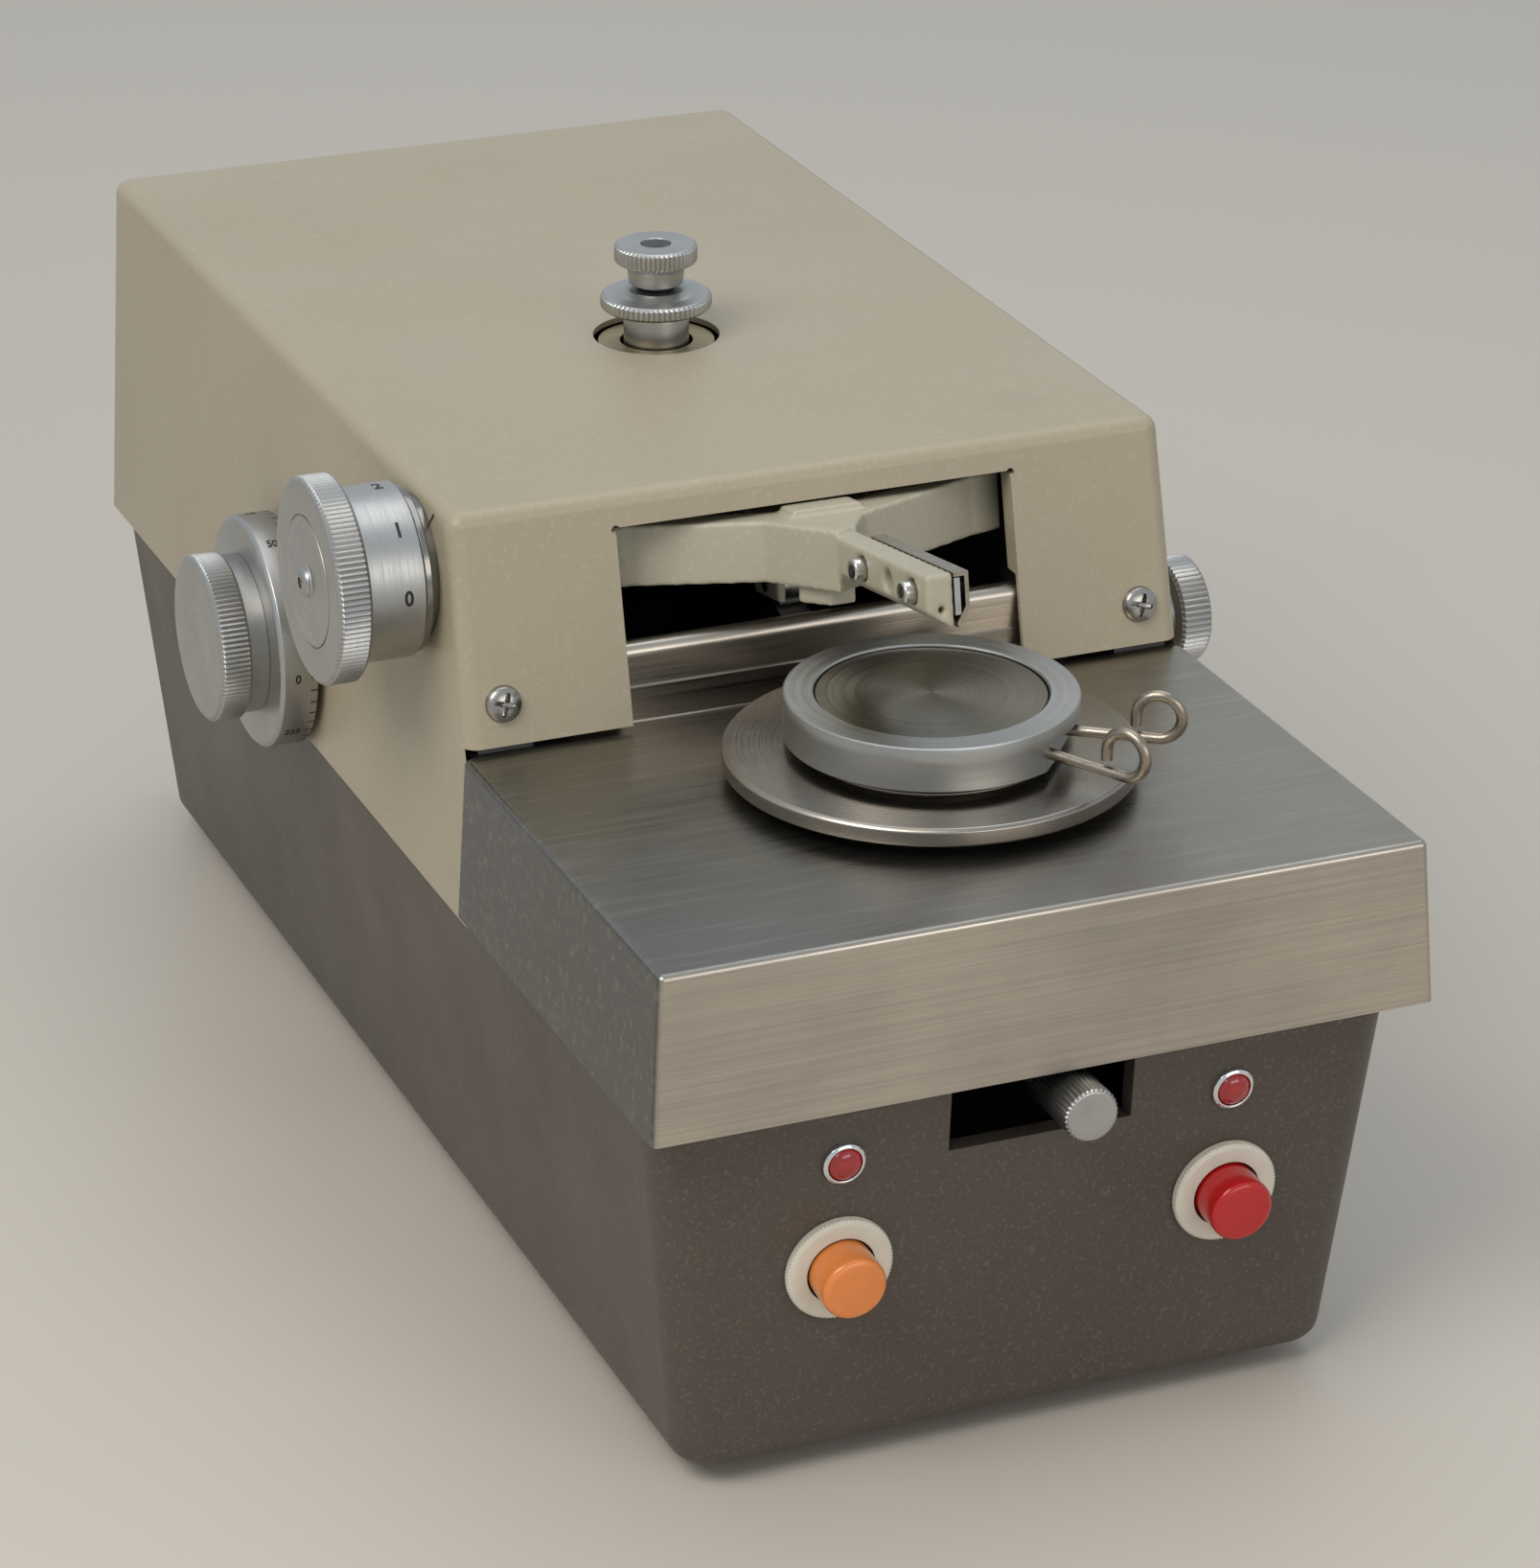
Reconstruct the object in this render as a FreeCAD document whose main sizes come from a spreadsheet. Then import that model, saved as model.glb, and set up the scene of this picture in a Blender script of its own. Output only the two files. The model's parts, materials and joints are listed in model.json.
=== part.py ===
import FreeCAD, Part
import math
import os

import Sketcher
from FreeCAD import Placement, Rotation, Vector

# Tissue sectioner: a bench instrument that chops a specimen with a blade on a cam-lifted arm
# while a lead screw steps the specimen table sideways.
# Frame: +Z up, the bench at Z 0, +X to the operator's right, the operator at -Y.
# Distances named "..._back" run rearward from the top front edge of the steel deck.
# Heights named "..._height" or "..._level" are above the bench unless the note says otherwise.

SIZES = {
    # cast base
    "foot_height": 5.0,
    "foot_radius": 9.0,
    "foot_half_spacing": 68.0,
    "foot_front_back": 52.0,
    "foot_rear_back": 385.0,
    "base_height": 97.0,
    "base_top_half": 93.7,
    "base_bottom_half": 83.7,
    "base_front_back": 6.9,
    "base_front_rake": 7.8,
    "base_rear_back": 432.5,
    "base_rear_rake": 5.0,
    "base_wall": 5.0,
    "base_corner": 10.0,
    "base_bottom_edge": 6.0,
    "pillar_radius": 6.0,
    "pillar_half_spacing": 74.0,
    "pillar_front_back": 40.0,
    "pillar_rear_back": 402.0,
    "cover_sheet": 2.0,
    "cover_half": 56.0,
    "cover_front_back": 84.0,
    "cover_rear_back": 366.0,
    "cover_lap": 9.0,
    "chassis_level": 80.0,
    "chassis_sheet": 3.0,
    "chassis_gap": 1.2,
    # steel deck
    "skirt_height": 40.7,
    "deck_sheet": 1.2,
    "deck_half": 95.0,
    "skirt_half": 97.6,
    "skirt_flare": 2.1,
    "deck_bend": 1.6,
    "deck_depth": 127.3,
    "upstand_back": 133.5,
    "upstand_depth": 6.0,
    "upstand_height": 20.0,
    "upstand_half": 66.0,
    # painted hood
    "hood_height": 97.4,
    "hood_sheet": 1.5,
    "hood_top_half": 93.2,
    "hood_bottom_half": 95.5,
    "hood_drop": 3.5,
    "hood_front_rake": 13.0,
    "hood_rear_back": 437.3,
    "hood_rear_rake": 12.0,
    "hood_bend": 4.0,
    "window_half": 51.8,
    "window_level": 191.4,
    "window_relief": 1.1,
    "window_return": 6.0,
    "flange_gap": 1.6,
    "hood_screw_half": 84.0,
    "hood_screw_level": 154.3,
    "hood_screw_head": 4.5,
    # specimen table
    "table_x": 4.2,
    "table_back": 78.0,
    "plate_radius": 49.6,
    "plate_thickness": 4.9,
    "plate_lift": 3.1,
    "ring_radius": 35.1,
    "ring_bore": 27.8,
    "ring_height": 11.0,
    "ring_lift": 2.6,
    "ring_flat": 31.8,
    "ring_flat_angle": -38.5,
    "ring_cap": 4.0,
    "disc_recess": 1.2,
    "disc_thickness": 3.0,
    "spindle_radius": 6.0,
    "travel_left": 19.5,
    "travel_right": 11.5,
    "rod_radius": 4.0,
    "rod_half_pitch": 24.0,
    "rod_level": 112.0,
    "rail_half": 66.0,
    "rail_thickness": 8.0,
    "screw_radius": 4.0,
    "screw_level": 94.0,
    # eye pins in the specimen ring
    "wire_radius": 1.4,
    "loop_radius": 5.4,
    "pin_level": 157.5,
    "pin_front_angle": -61.0,
    "pin_rear_angle": -36.0,
    "pin_front_reach": 29.5,
    "pin_rear_reach": 27.8,
    "pin_travel": 8.0,
    # table release knob in the front slot
    "release_x": 6.0,
    "release_level": 93.8,
    "release_radius": 6.75,
    "release_length": 24.0,
    "release_reach": 10.4,
    "slot_left": 21.1,
    "slot_right": 25.1,
    "slot_bottom": 81.2,
    # chopping arm
    "pivot_back": 173.5,
    "pivot_level": 174.5,
    "pivot_radius": 5.0,
    "lift_angle": 9.8,
    "arm_reach": 118.1,
    "arm_top": 7.2,
    "arm_leg_top": 8.5,
    "arm_leg_bottom": -6.5,
    "arm_leg_half": 54.0,
    "arm_leg_width": 9.0,
    "arm_spine_top": 4.5,
    "arm_tail_half": 6.5,
    "arm_shelf_front": 12.0,
    "arm_shelf_top": -10.0,
    "arm_shelf_sheet": 5.0,
    "nose_width": 6.6,
    "nose_side_height": 8.8,
    "nose_blade_height": 13.4,
    "clamp_width": 4.0,
    "clamp_length": 48.0,
    "clamp_head_stand": 1.6,
    "clamp_screw_front": 29.5,
    "clamp_screw_pitch": 29.2,
    "roller_radius": 5.5,
    "roller_width": 8.6,
    "roller_ahead": 17.0,
    "roller_below": 13.5,
    "post_half": 7.0,
    # cam shaft and drive
    "cam_back": 158.7,
    "cam_level": 138.5,
    "shaft_radius": 4.0,
    "cam_width": 8.0,
    "cam_sweep": 330.0,
    "cam_gap": 0.3,
    "feed_stroke": 5.0,
    "pulley_radius": 22.0,
    "motor_pulley_radius": 14.0,
    "pulley_x": 70.0,
    "pulley_width": 8.0,
    "belt_thickness": 2.0,
    "belt_width": 5.0,
    "motor_back": 334.0,
    "motor_level": 122.0,
    "motor_radius": 30.0,
    "motor_half_length": 48.0,
    # frame plates
    "frame_inner": 60.0,
    "frame_sheet": 6.0,
    "frame_front_back": 143.0,
    "frame_rear_back": 284.0,
    "frame_level": 184.0,
    "bridge_sheet": 4.0,
    # hand knob on the right
    "hand_reach": 113.0,
    "hand_width": 8.6,
    "hand_radius": 13.8,
    "hand_hub_radius": 9.0,
    # thickness dial on the left rear
    "feed_back": 265.3,
    "feed_level": 124.9,
    "feed_drum_radius": 30.5,
    "feed_drum_width": 9.8,
    "feed_cap_radius": 21.9,
    "feed_cap_width": 8.3,
    "feed_collar_width": 4.8,
    "feed_reach": 120.1,
    "feed_flange_radius": 22.0,
    # rate dial on the left front
    "rate_back": 164.0,
    "rate_level": 178.6,
    "rate_rim_radius": 25.4,
    "rate_rim_width": 8.4,
    "rate_drum_radius": 21.4,
    "rate_drum_width": 14.3,
    "rate_reach": 121.0,
    "rate_screw_stand": 2.0,
    "rate_inset_radius": 16.2,
    "rate_ring_radius": 20.4,
    # force and lock knobs on top
    "force_back": 244.6,
    "force_hole_radius": 16.4,
    "stem_radius": 3.0,
    "stem_flange": 2.0,
    "spring_radius": 5.2,
    "spring_wire": 0.7,
    "spring_pitch": 4.6,
    "force_knob_radius": 14.4,
    "force_knob_level": 206.8,
    "force_knob_height": 3.8,
    "lock_knob_radius": 10.7,
    "lock_knob_level": 219.0,
    "lock_knob_height": 4.9,
    # front panel
    "panel_mid": 1.5,
    "button_half_spacing": 49.2,
    "button_drop": 46.0,
    "pilot_drop": 18.3,
    "bezel_radius": 13.2,
    "bezel_height": 2.4,
    "cap_radius": 7.9,
    "cap_height": 9.0,
    "cap_travel": 3.0,
    "pilot_radius": 5.0,
    "lens_radius": 4.0,
    # rear panel
    "gland_x": -72.0,
    "gland_level": 30.0,
    "gland_radius": 7.0,
    "gland_reach": 448.0,
    # fits
    "running_fit": 0.05,
    "free_gap": 0.3,
    "seat_gap": 0.1,
}


class Size:
    """A size as the document's expression and as its present value."""

    def __init__(self, text, value):
        self.text = text
        self.value = value

    def __float__(self):
        return self.value

    def __add__(self, other):
        other = as_size(other)
        return Size(f"({self.text} + {other.text})", self.value + other.value)

    def __radd__(self, other):
        return as_size(other) + self

    def __sub__(self, other):
        other = as_size(other)
        return Size(f"({self.text} - {other.text})", self.value - other.value)

    def __rsub__(self, other):
        return as_size(other) - self

    def __mul__(self, other):
        other = as_size(other)
        return Size(f"({self.text} * {other.text})", self.value * other.value)

    def __rmul__(self, other):
        return as_size(other) * self

    def __truediv__(self, other):
        other = as_size(other)
        return Size(f"({self.text} / {other.text})", self.value / other.value)

    def __neg__(self):
        return Size(f"(0 - {self.text})", -self.value)


def as_size(value):
    if isinstance(value, Size):
        return value
    return Size(f"({float(value)})", float(value))


class Sheet:
    """The named sizes of the document, read as attributes."""

    def __init__(self, document, sizes):
        self.cells = document.addObject("Spreadsheet::Sheet", "dims")
        self.sizes = sizes
        for row, (alias, value) in enumerate(sizes.items(), start=1):
            self.cells.set(f"A{row}", alias.replace("_", " "))
            self.cells.set(f"B{row}", str(value))
            self.cells.setAlias(f"B{row}", alias)

    def __getattr__(self, alias):
        return Size(f"dims.{alias}", self.sizes[alias])


doc = FreeCAD.newDocument("tissue_sectioner")
D = Sheet(doc, SIZES)
doc.recompute()
PIECES = []

X_AXIS = Vector(1, 0, 0)
Y_AXIS = Vector(0, 1, 0)
TURN = {
    "x": Rotation(Y_AXIS, 90),
    "y": Rotation(X_AXIS, -90),
    "z": Rotation(),
}


def bind(item, path, value):
    item.setExpression(path, as_size(value).text)


def put(item, x=0.0, y=0.0, z=0.0, rotation=None, pitch=None):
    """Place an object, bound to the sizes; pitch turns it about X."""
    if pitch is not None:
        rotation = Rotation(X_AXIS, float(pitch))
    if rotation is not None:
        item.Placement = Placement(Vector(), rotation)
    if pitch is not None:
        item.Placement.Rotation.Axis = X_AXIS
        bind(item, ".Placement.Rotation.Angle", pitch)
    bind(item, ".Placement.Base.x", x)
    bind(item, ".Placement.Base.y", y)
    bind(item, ".Placement.Base.z", z)
    return item


def box(name, x, y, z):
    """A block between the two ends of each axis."""
    item = doc.addObject("Part::Box", name)
    bind(item, "Length", x[1] - x[0])
    bind(item, "Width", y[1] - y[0])
    bind(item, "Height", z[1] - z[0])
    return put(item, x[0], y[0], z[0])


def rod(name, axis, radius, span, a, b):
    """A cylinder along an axis over a span; a and b are its other two coordinates in X, Y, Z order."""
    item = doc.addObject("Part::Cylinder", name)
    bind(item, "Radius", radius)
    bind(item, "Height", span[1] - span[0])
    at = {"x": (span[0], a, b), "y": (a, span[0], b), "z": (a, b, span[0])}[axis]
    return put(item, *at, rotation=TURN[axis])


def fuse(name, *parts):
    item = doc.addObject("Part::MultiFuse", name)
    item.Shapes = list(parts)
    return item


def cut(name, base, *tools):
    item = doc.addObject("Part::Cut", name)
    item.Base = base
    item.Tool = tools[0] if len(tools) == 1 else fuse(name + "_tools", *tools)
    return item


def group(name, *parts):
    item = doc.addObject("Part::Compound", name)
    item.Links = list(parts)
    return item


def tube(name, axis, outer, inner, span, a, b):
    margin = 1.0
    solid = rod(name + "_outside", axis, outer, span, a, b)
    bore = rod(name + "_bore", axis, inner, (span[0] - margin, span[1] + margin), a, b)
    return cut(name, solid, bore)


def piece(label, item, x=0.0, y=0.0, z=0.0, pitch=None):
    """Name a finished sub-part and set it in the instrument's frame."""
    put(item, MID + x, y, z, pitch=pitch)
    item.Label = label
    PIECES.append(item)
    return item


def new_body(name):
    return doc.addObject("PartDesign::Body", name)


def sketch(body, name, plane, offset=None):
    """A sketch on one of the body's own origin planes."""
    item = body.newObject("Sketcher::SketchObject", name)
    support = [f for f in body.Origin.OriginFeatures if f.Role == plane + "_Plane"][0]
    item.AttachmentSupport = [(support, "")]
    item.MapMode = "FlatFace"
    if offset is not None:
        bind(item, ".AttachmentOffset.Base.z", offset)
    return item


def pin_down(item, geometry, position, x, y):
    """Fix one point of a sketch at a place bound to the sizes."""
    for kind, value in (("DistanceX", as_size(x)), ("DistanceY", as_size(y))):
        index = item.addConstraint(Sketcher.Constraint(kind, -1, 1, geometry, position, value.value))
        item.setExpression(f"Constraints[{index}]", value.text)


def polygon(item, points):
    """A closed outline of straight lines, each corner placed by the sizes."""
    places = [Vector(float(as_size(x)), float(as_size(y)), 0) for x, y in points]
    count = len(places)
    first = None
    for i in range(count):
        index = item.addGeometry(Part.LineSegment(places[i], places[(i + 1) % count]), False)
        first = index if first is None else first
    for i in range(count):
        item.addConstraint(Sketcher.Constraint("Coincident", first + i, 2, first + (i + 1) % count, 1))
        pin_down(item, first + i, 1, *points[i])
    return item


def circle(item, x, y, radius):
    centre = Vector(float(as_size(x)), float(as_size(y)), 0)
    index = item.addGeometry(Part.Circle(centre, Vector(0, 0, 1), float(as_size(radius))), False)
    pin_down(item, index, 3, x, y)
    constraint = item.addConstraint(Sketcher.Constraint("Radius", index, float(as_size(radius))))
    item.setExpression(f"Constraints[{constraint}]", as_size(radius).text)
    return item


def rectangle(item, x, y):
    return polygon(item, [(x[0], y[0]), (x[1], y[0]), (x[1], y[1]), (x[0], y[1])])


def pad(body, outline, length, name):
    feature = body.newObject("PartDesign::Pad", name)
    feature.Profile = outline
    bind(feature, "Length", length)
    body.Tip = feature
    return feature


def prism(name, plane, start, length, points):
    """A body with one straight-sided outline, padded along the plane's normal."""
    body = new_body(name)
    outline = polygon(sketch(body, name + "_outline", plane, start), points)
    pad(body, outline, length, name + "_pad")
    return body


def turned(name, axis, profile):
    """A body turned about an axis; the profile's points are (distance along, radius)."""
    body = new_body(name)
    if axis == "z":
        outline = sketch(body, name + "_profile", "XZ")
        polygon(outline, [(radius, along) for along, radius in profile])
    else:
        outline = sketch(body, name + "_profile", "XY" if axis == "x" else "YZ")
        polygon(outline, profile)
    feature = body.newObject("PartDesign::Revolution", name + "_turned")
    feature.Profile = outline
    feature.ReferenceAxis = (outline, ["V_Axis" if axis == "z" else "H_Axis"])
    feature.Angle = 360.0
    body.Tip = feature
    return body


def taper(body, name, low, high, kind="Additive"):
    """A tapered block between two rectangles ((x ends), (y ends), level)."""
    feature = body.newObject(f"PartDesign::{kind}Wedge", name)
    feature.Placement = Placement(Vector(), Rotation(X_AXIS, 90))
    for mark, (x, y, level), ends in (("", low, "Ymin"), ("2", high, "Ymax")):
        bind(feature, ends, level)
        bind(feature, f"X{mark}min", x[0])
        bind(feature, f"X{mark}max", x[1])
        bind(feature, f"Z{mark}min", -y[1])
        bind(feature, f"Z{mark}max", -y[0])
    body.Tip = feature
    return feature


def round_edges(body, name, radius, wanted):
    """Round the edges of the body's tip for which wanted(edge) is true."""
    doc.recompute()
    tip = body.Tip
    names = [f"Edge{i}" for i, edge in enumerate(tip.Shape.Edges, start=1) if wanted(edge)]
    feature = body.newObject("PartDesign::Fillet", name)
    feature.Base = (tip, names)
    bind(feature, "Radius", radius)
    body.Tip = feature
    return feature


def rise_of(edge):
    """How upright an edge is: 0 level, 1 plumb."""
    a, b = edge.Vertexes[0].Point, edge.Vertexes[-1].Point
    return abs(b.z - a.z) / max(edge.Length, 1e-6)


def slope(rise, run):
    """The angle in degrees whose tangent is rise / run."""
    value = math.degrees(math.atan(float(rise) / float(run)))
    return Size(f"(atan({rise.text} / {run.text}) / 1 deg)", value)


def both_sides(value):
    return (-as_size(value), as_size(value))


# Places that many pieces share

MID = (D.rate_reach + D.rate_screw_stand - D.hand_reach) / 2
FRONT = (D.release_reach - D.gland_reach) / 2
FLOOR = D.foot_height
PARTING = FLOOR + D.base_height
DECK_TOP = PARTING + D.skirt_height
HOOD_TOP = PARTING + D.hood_height
HOOD_BOTTOM = PARTING - D.hood_drop
CHASSIS = D.chassis_level
PLATE_TOP = DECK_TOP + D.plate_lift + D.plate_thickness
RING_BOTTOM = PLATE_TOP + D.ring_lift
RING_TOP = RING_BOTTOM + D.ring_height
TABLE_Y = FRONT + D.table_back
PIVOT_Y = FRONT + D.pivot_back
CAM_Y = FRONT + D.cam_back
FORCE_Y = FRONT + D.force_back
FRAME_OUTER = D.frame_inner + D.frame_sheet
PANEL_TILT = slope(D.base_front_rake, D.base_height)


def base_half(level):
    """Half the base casting's width outside at a height above the bench."""
    return D.base_bottom_half + (D.base_top_half - D.base_bottom_half) * (level - FLOOR) / D.base_height


def base_front(level):
    return FRONT + D.base_front_back + D.base_front_rake * (PARTING - level) / D.base_height


def base_rear(level):
    return FRONT + D.base_rear_back - D.base_rear_rake * (PARTING - level) / D.base_height


def hood_half(level):
    """Half the hood's width outside at a height above the bench."""
    share = (level - HOOD_BOTTOM) / (HOOD_TOP - HOOD_BOTTOM)
    return D.hood_bottom_half - (D.hood_bottom_half - D.hood_top_half) * share


def hood_front(level):
    return FRONT + D.deck_depth + D.hood_front_rake * (level - DECK_TOP) / (HOOD_TOP - DECK_TOP)


def hood_rear(level):
    return FRONT + D.hood_rear_back - D.hood_rear_rake * (level - HOOD_BOTTOM) / (HOOD_TOP - HOOD_BOTTOM)


def panel_x(side):
    return D.panel_mid + side * D.button_half_spacing


def corner_places(half, front_back, rear_back):
    return [(side * half, FRONT + back) for back in (front_back, rear_back) for side in (-1, 1)]


def pillar_places():
    middle = (D.pillar_front_back + D.pillar_rear_back) / 2
    places = corner_places(D.pillar_half_spacing, D.pillar_front_back, D.pillar_rear_back)
    return places + [(side * D.pillar_half_spacing, FRONT + middle) for side in (-1, 1)]


def cover_screw_places():
    inset = D.cover_lap / 2
    half = D.cover_half - inset
    front = D.cover_front_back + inset
    rear = D.cover_rear_back - inset
    middle = (front + rear) / 2
    return corner_places(half, front, rear) + [(side * half, FRONT + middle) for side in (-1, 1)]


# Cast base, its cover, feet and chassis

BASE_SCREW = 2.0


def make_base():
    body = new_body("base_shell")
    floor_inside = FLOOR + D.base_wall
    wall = D.base_wall
    taper(body, "base_outside",
         (both_sides(D.base_bottom_half), (base_front(FLOOR), base_rear(FLOOR)), FLOOR),
         (both_sides(D.base_top_half), (base_front(PARTING), base_rear(PARTING)), PARTING))
    round_edges(body, "base_corners", D.base_corner, lambda edge: rise_of(edge) > 0.9)
    low = float(FLOOR) + 0.01
    round_edges(body, "base_bottom_round", D.base_bottom_edge,
                lambda edge: edge.BoundBox.ZMax < low)
    taper(body, "base_inside",
         (both_sides(base_half(floor_inside) - wall),
          (base_front(floor_inside) + wall, base_rear(floor_inside) - wall), floor_inside),
         (both_sides(base_half(PARTING) - wall),
          (base_front(PARTING) + wall, base_rear(PARTING) - wall), PARTING),
         kind="Subtractive")
    pillar_top = CHASSIS - D.chassis_sheet
    sink = 1.0
    pillars = []
    tools = []
    for i, (x, y) in enumerate(pillar_places()):
        pillars.append(rod(f"pillar_{i}", "z", D.pillar_radius, (floor_inside - sink, pillar_top), x, y))
        depth = 14.0
        tools.append(rod(f"pillar_hole_{i}", "z", BASE_SCREW + D.seat_gap,
                         (pillar_top - depth, pillar_top + 1), x, y))
    for i, (x, y) in enumerate(cover_screw_places()):
        tools.append(rod(f"cover_hole_{i}", "z", BASE_SCREW + D.seat_gap,
                         (FLOOR - 1, floor_inside + 1), x, y))
    lap = D.cover_lap
    tools.append(box("floor_opening", both_sides(D.cover_half - lap),
                     (FRONT + D.cover_front_back + lap, FRONT + D.cover_rear_back - lap),
                     (FLOOR - 1, floor_inside + 1)))
    tools.append(box("release_slot", (-D.slot_left, D.slot_right),
                     (FRONT - 5, FRONT + D.base_front_back + 2 * wall + D.base_front_rake),
                     (D.slot_bottom, PARTING + 1)))
    for side, tag in ((-1, "left"), (1, "right")):
        for drop, radius, kind in ((D.button_drop, BUTTON_NECK, "button"), (D.pilot_drop, PILOT_NECK, "pilot")):
            level = PARTING - drop
            tool = doc.addObject("Part::Cylinder", f"{kind}_hole_{tag}")
            bind(tool, "Radius", radius + D.seat_gap)
            bind(tool, "Height", 30)
            tool.Placement = Placement(Vector(), TURN["y"])
            tilted = group(f"{kind}_hole_{tag}_tilted", tool)
            bind(tool, ".Placement.Base.y", -15)
            put(tilted, panel_x(side), base_front(level), level, pitch=PANEL_TILT)
            tools.append(tilted)
    tools.append(rod("gland_hole", "y", D.gland_radius + D.seat_gap,
                     (base_rear(FLOOR) - 20, base_rear(PARTING) + 5), D.gland_x, D.gland_level))
    piece("base_housing", cut("base_housing_cut", fuse("base_with_pillars", body, *pillars), *tools))


def machine_screw(name, x, y, seat, up):
    """A pan head screw standing along Z; up is 1 for a head above its seat, -1 for one below."""
    head = 1.8
    length = 9.0
    ends = sorted((seat, seat + up * head), key=float)
    top = rod(name + "_head", "z", 3.2, tuple(ends), x, y)
    ends = sorted((seat - up * length, seat + up * head / 2), key=float)
    shank = rod(name + "_shank", "z", BASE_SCREW, tuple(ends), x, y)
    return fuse(name, top, shank)


def make_bottom():
    plate = box("cover_plate", both_sides(D.cover_half),
                (FRONT + D.cover_front_back, FRONT + D.cover_rear_back), (FLOOR - D.cover_sheet, FLOOR))
    holes = [rod(f"cover_clear_{i}", "z", BASE_SCREW + D.free_gap, (FLOOR - 5, FLOOR + 1), x, y)
             for i, (x, y) in enumerate(cover_screw_places())]
    piece("bottom_cover", cut("bottom_cover_cut", plate, *holes))
    screws = [machine_screw(f"cover_screw_{i}", x, y, FLOOR - D.cover_sheet, -1)
              for i, (x, y) in enumerate(cover_screw_places())]
    screws += [machine_screw(f"chassis_screw_{i}", x, y, CHASSIS, 1)
               for i, (x, y) in enumerate(pillar_places())]
    piece("base_screws", group("base_screw_set", *screws))
    feet = []
    chamfer = 1.2
    for i, (x, y) in enumerate(corner_places(D.foot_half_spacing, D.foot_front_back, D.foot_rear_back)):
        foot = turned(f"foot_{i}", "z", [(0, 0), (0, D.foot_radius - chamfer), (chamfer, D.foot_radius),
                                         (D.foot_height, D.foot_radius), (D.foot_height, 0)])
        feet.append(put(foot, x, y, 0))
    piece("rubber_feet", group("foot_set", *feet))


def make_chassis():
    low = CHASSIS - D.chassis_sheet
    half = base_half(low) - D.base_wall - D.chassis_gap
    plate = box("chassis_blank", both_sides(half),
                (base_front(low) + D.base_wall + D.chassis_gap, base_rear(low) - D.base_wall - D.chassis_gap),
                (low, CHASSIS))
    holes = [rod(f"chassis_hole_{i}", "z", BASE_SCREW + D.free_gap, (low - 1, CHASSIS + 1), x, y)
             for i, (x, y) in enumerate(pillar_places())]
    piece("chassis_plate", cut("chassis_cut", plate, *holes))


# Steel deck

def make_deck():
    body = new_body("deck_shell")
    sheet = D.deck_sheet
    rear = FRONT + D.deck_depth - D.free_gap
    taper(body, "deck_outside",
         (both_sides(D.skirt_half), (FRONT - D.skirt_flare, rear), PARTING),
         (both_sides(D.deck_half), (FRONT, rear), DECK_TOP))
    spread = (D.skirt_half - D.deck_half) / D.skirt_height
    flare = D.skirt_flare / D.skirt_height
    high = float(DECK_TOP) - 0.01
    rear_value = float(rear) - 0.01
    round_edges(body, "deck_bends", D.deck_bend,
                lambda edge: edge.BoundBox.YMin < rear_value
                and (edge.BoundBox.ZMin > high or (rise_of(edge) > 0.9)))
    taper(body, "deck_inside",
         (both_sides(D.skirt_half - sheet), (FRONT - D.skirt_flare + sheet, rear + 1), PARTING),
         (both_sides(D.deck_half + spread * sheet - sheet), (FRONT - flare * sheet + sheet, rear + 1),
          DECK_TOP - sheet),
         kind="Subtractive")
    strip_half = hood_half(DECK_TOP) - D.hood_sheet - D.free_gap
    upstand_rear = FRONT + D.upstand_back + D.upstand_depth
    strip = box("deck_strip", both_sides(strip_half), (rear - 3, FRONT + D.upstand_back + sheet),
                (DECK_TOP - sheet, DECK_TOP))
    stand_top = DECK_TOP + D.upstand_height
    stand_front = FRONT + D.upstand_back
    crown = D.upstand_depth / 2
    stand = box("upstand_web", both_sides(D.upstand_half), (stand_front, stand_front + sheet),
                (DECK_TOP - sheet, stand_top - crown))
    tail = box("upstand_tail", both_sides(D.upstand_half), (upstand_rear - sheet, upstand_rear),
               (stand_top - crown - 4, stand_top - crown))
    bead = tube("upstand_bead", "x", crown, crown - sheet, both_sides(D.upstand_half),
                stand_front + crown, stand_top - crown)
    lower_half = box("bead_lower_half", (-D.upstand_half - 1, D.upstand_half + 1),
                     (stand_front - 1, upstand_rear + 1), (stand_top - 2 * crown - 1, stand_top - crown))
    crest = cut("upstand_crest", bead, lower_half)
    slot_radius = D.spindle_radius + 1
    low_x = D.table_x - D.travel_left
    high_x = D.table_x + D.travel_right
    slot = fuse("deck_slot",
                box("deck_slot_middle", (low_x, high_x), (TABLE_Y - slot_radius, TABLE_Y + slot_radius),
                    (DECK_TOP - 5, DECK_TOP + 5)),
                rod("deck_slot_left", "z", slot_radius, (DECK_TOP - 5, DECK_TOP + 5), low_x, TABLE_Y),
                rod("deck_slot_right", "z", slot_radius, (DECK_TOP - 5, DECK_TOP + 5), high_x, TABLE_Y))
    whole = fuse("deck_whole", body, strip, stand, tail, crest)
    piece("deck", cut("deck_cut", whole, slot))


# Painted hood and what holds it

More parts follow.
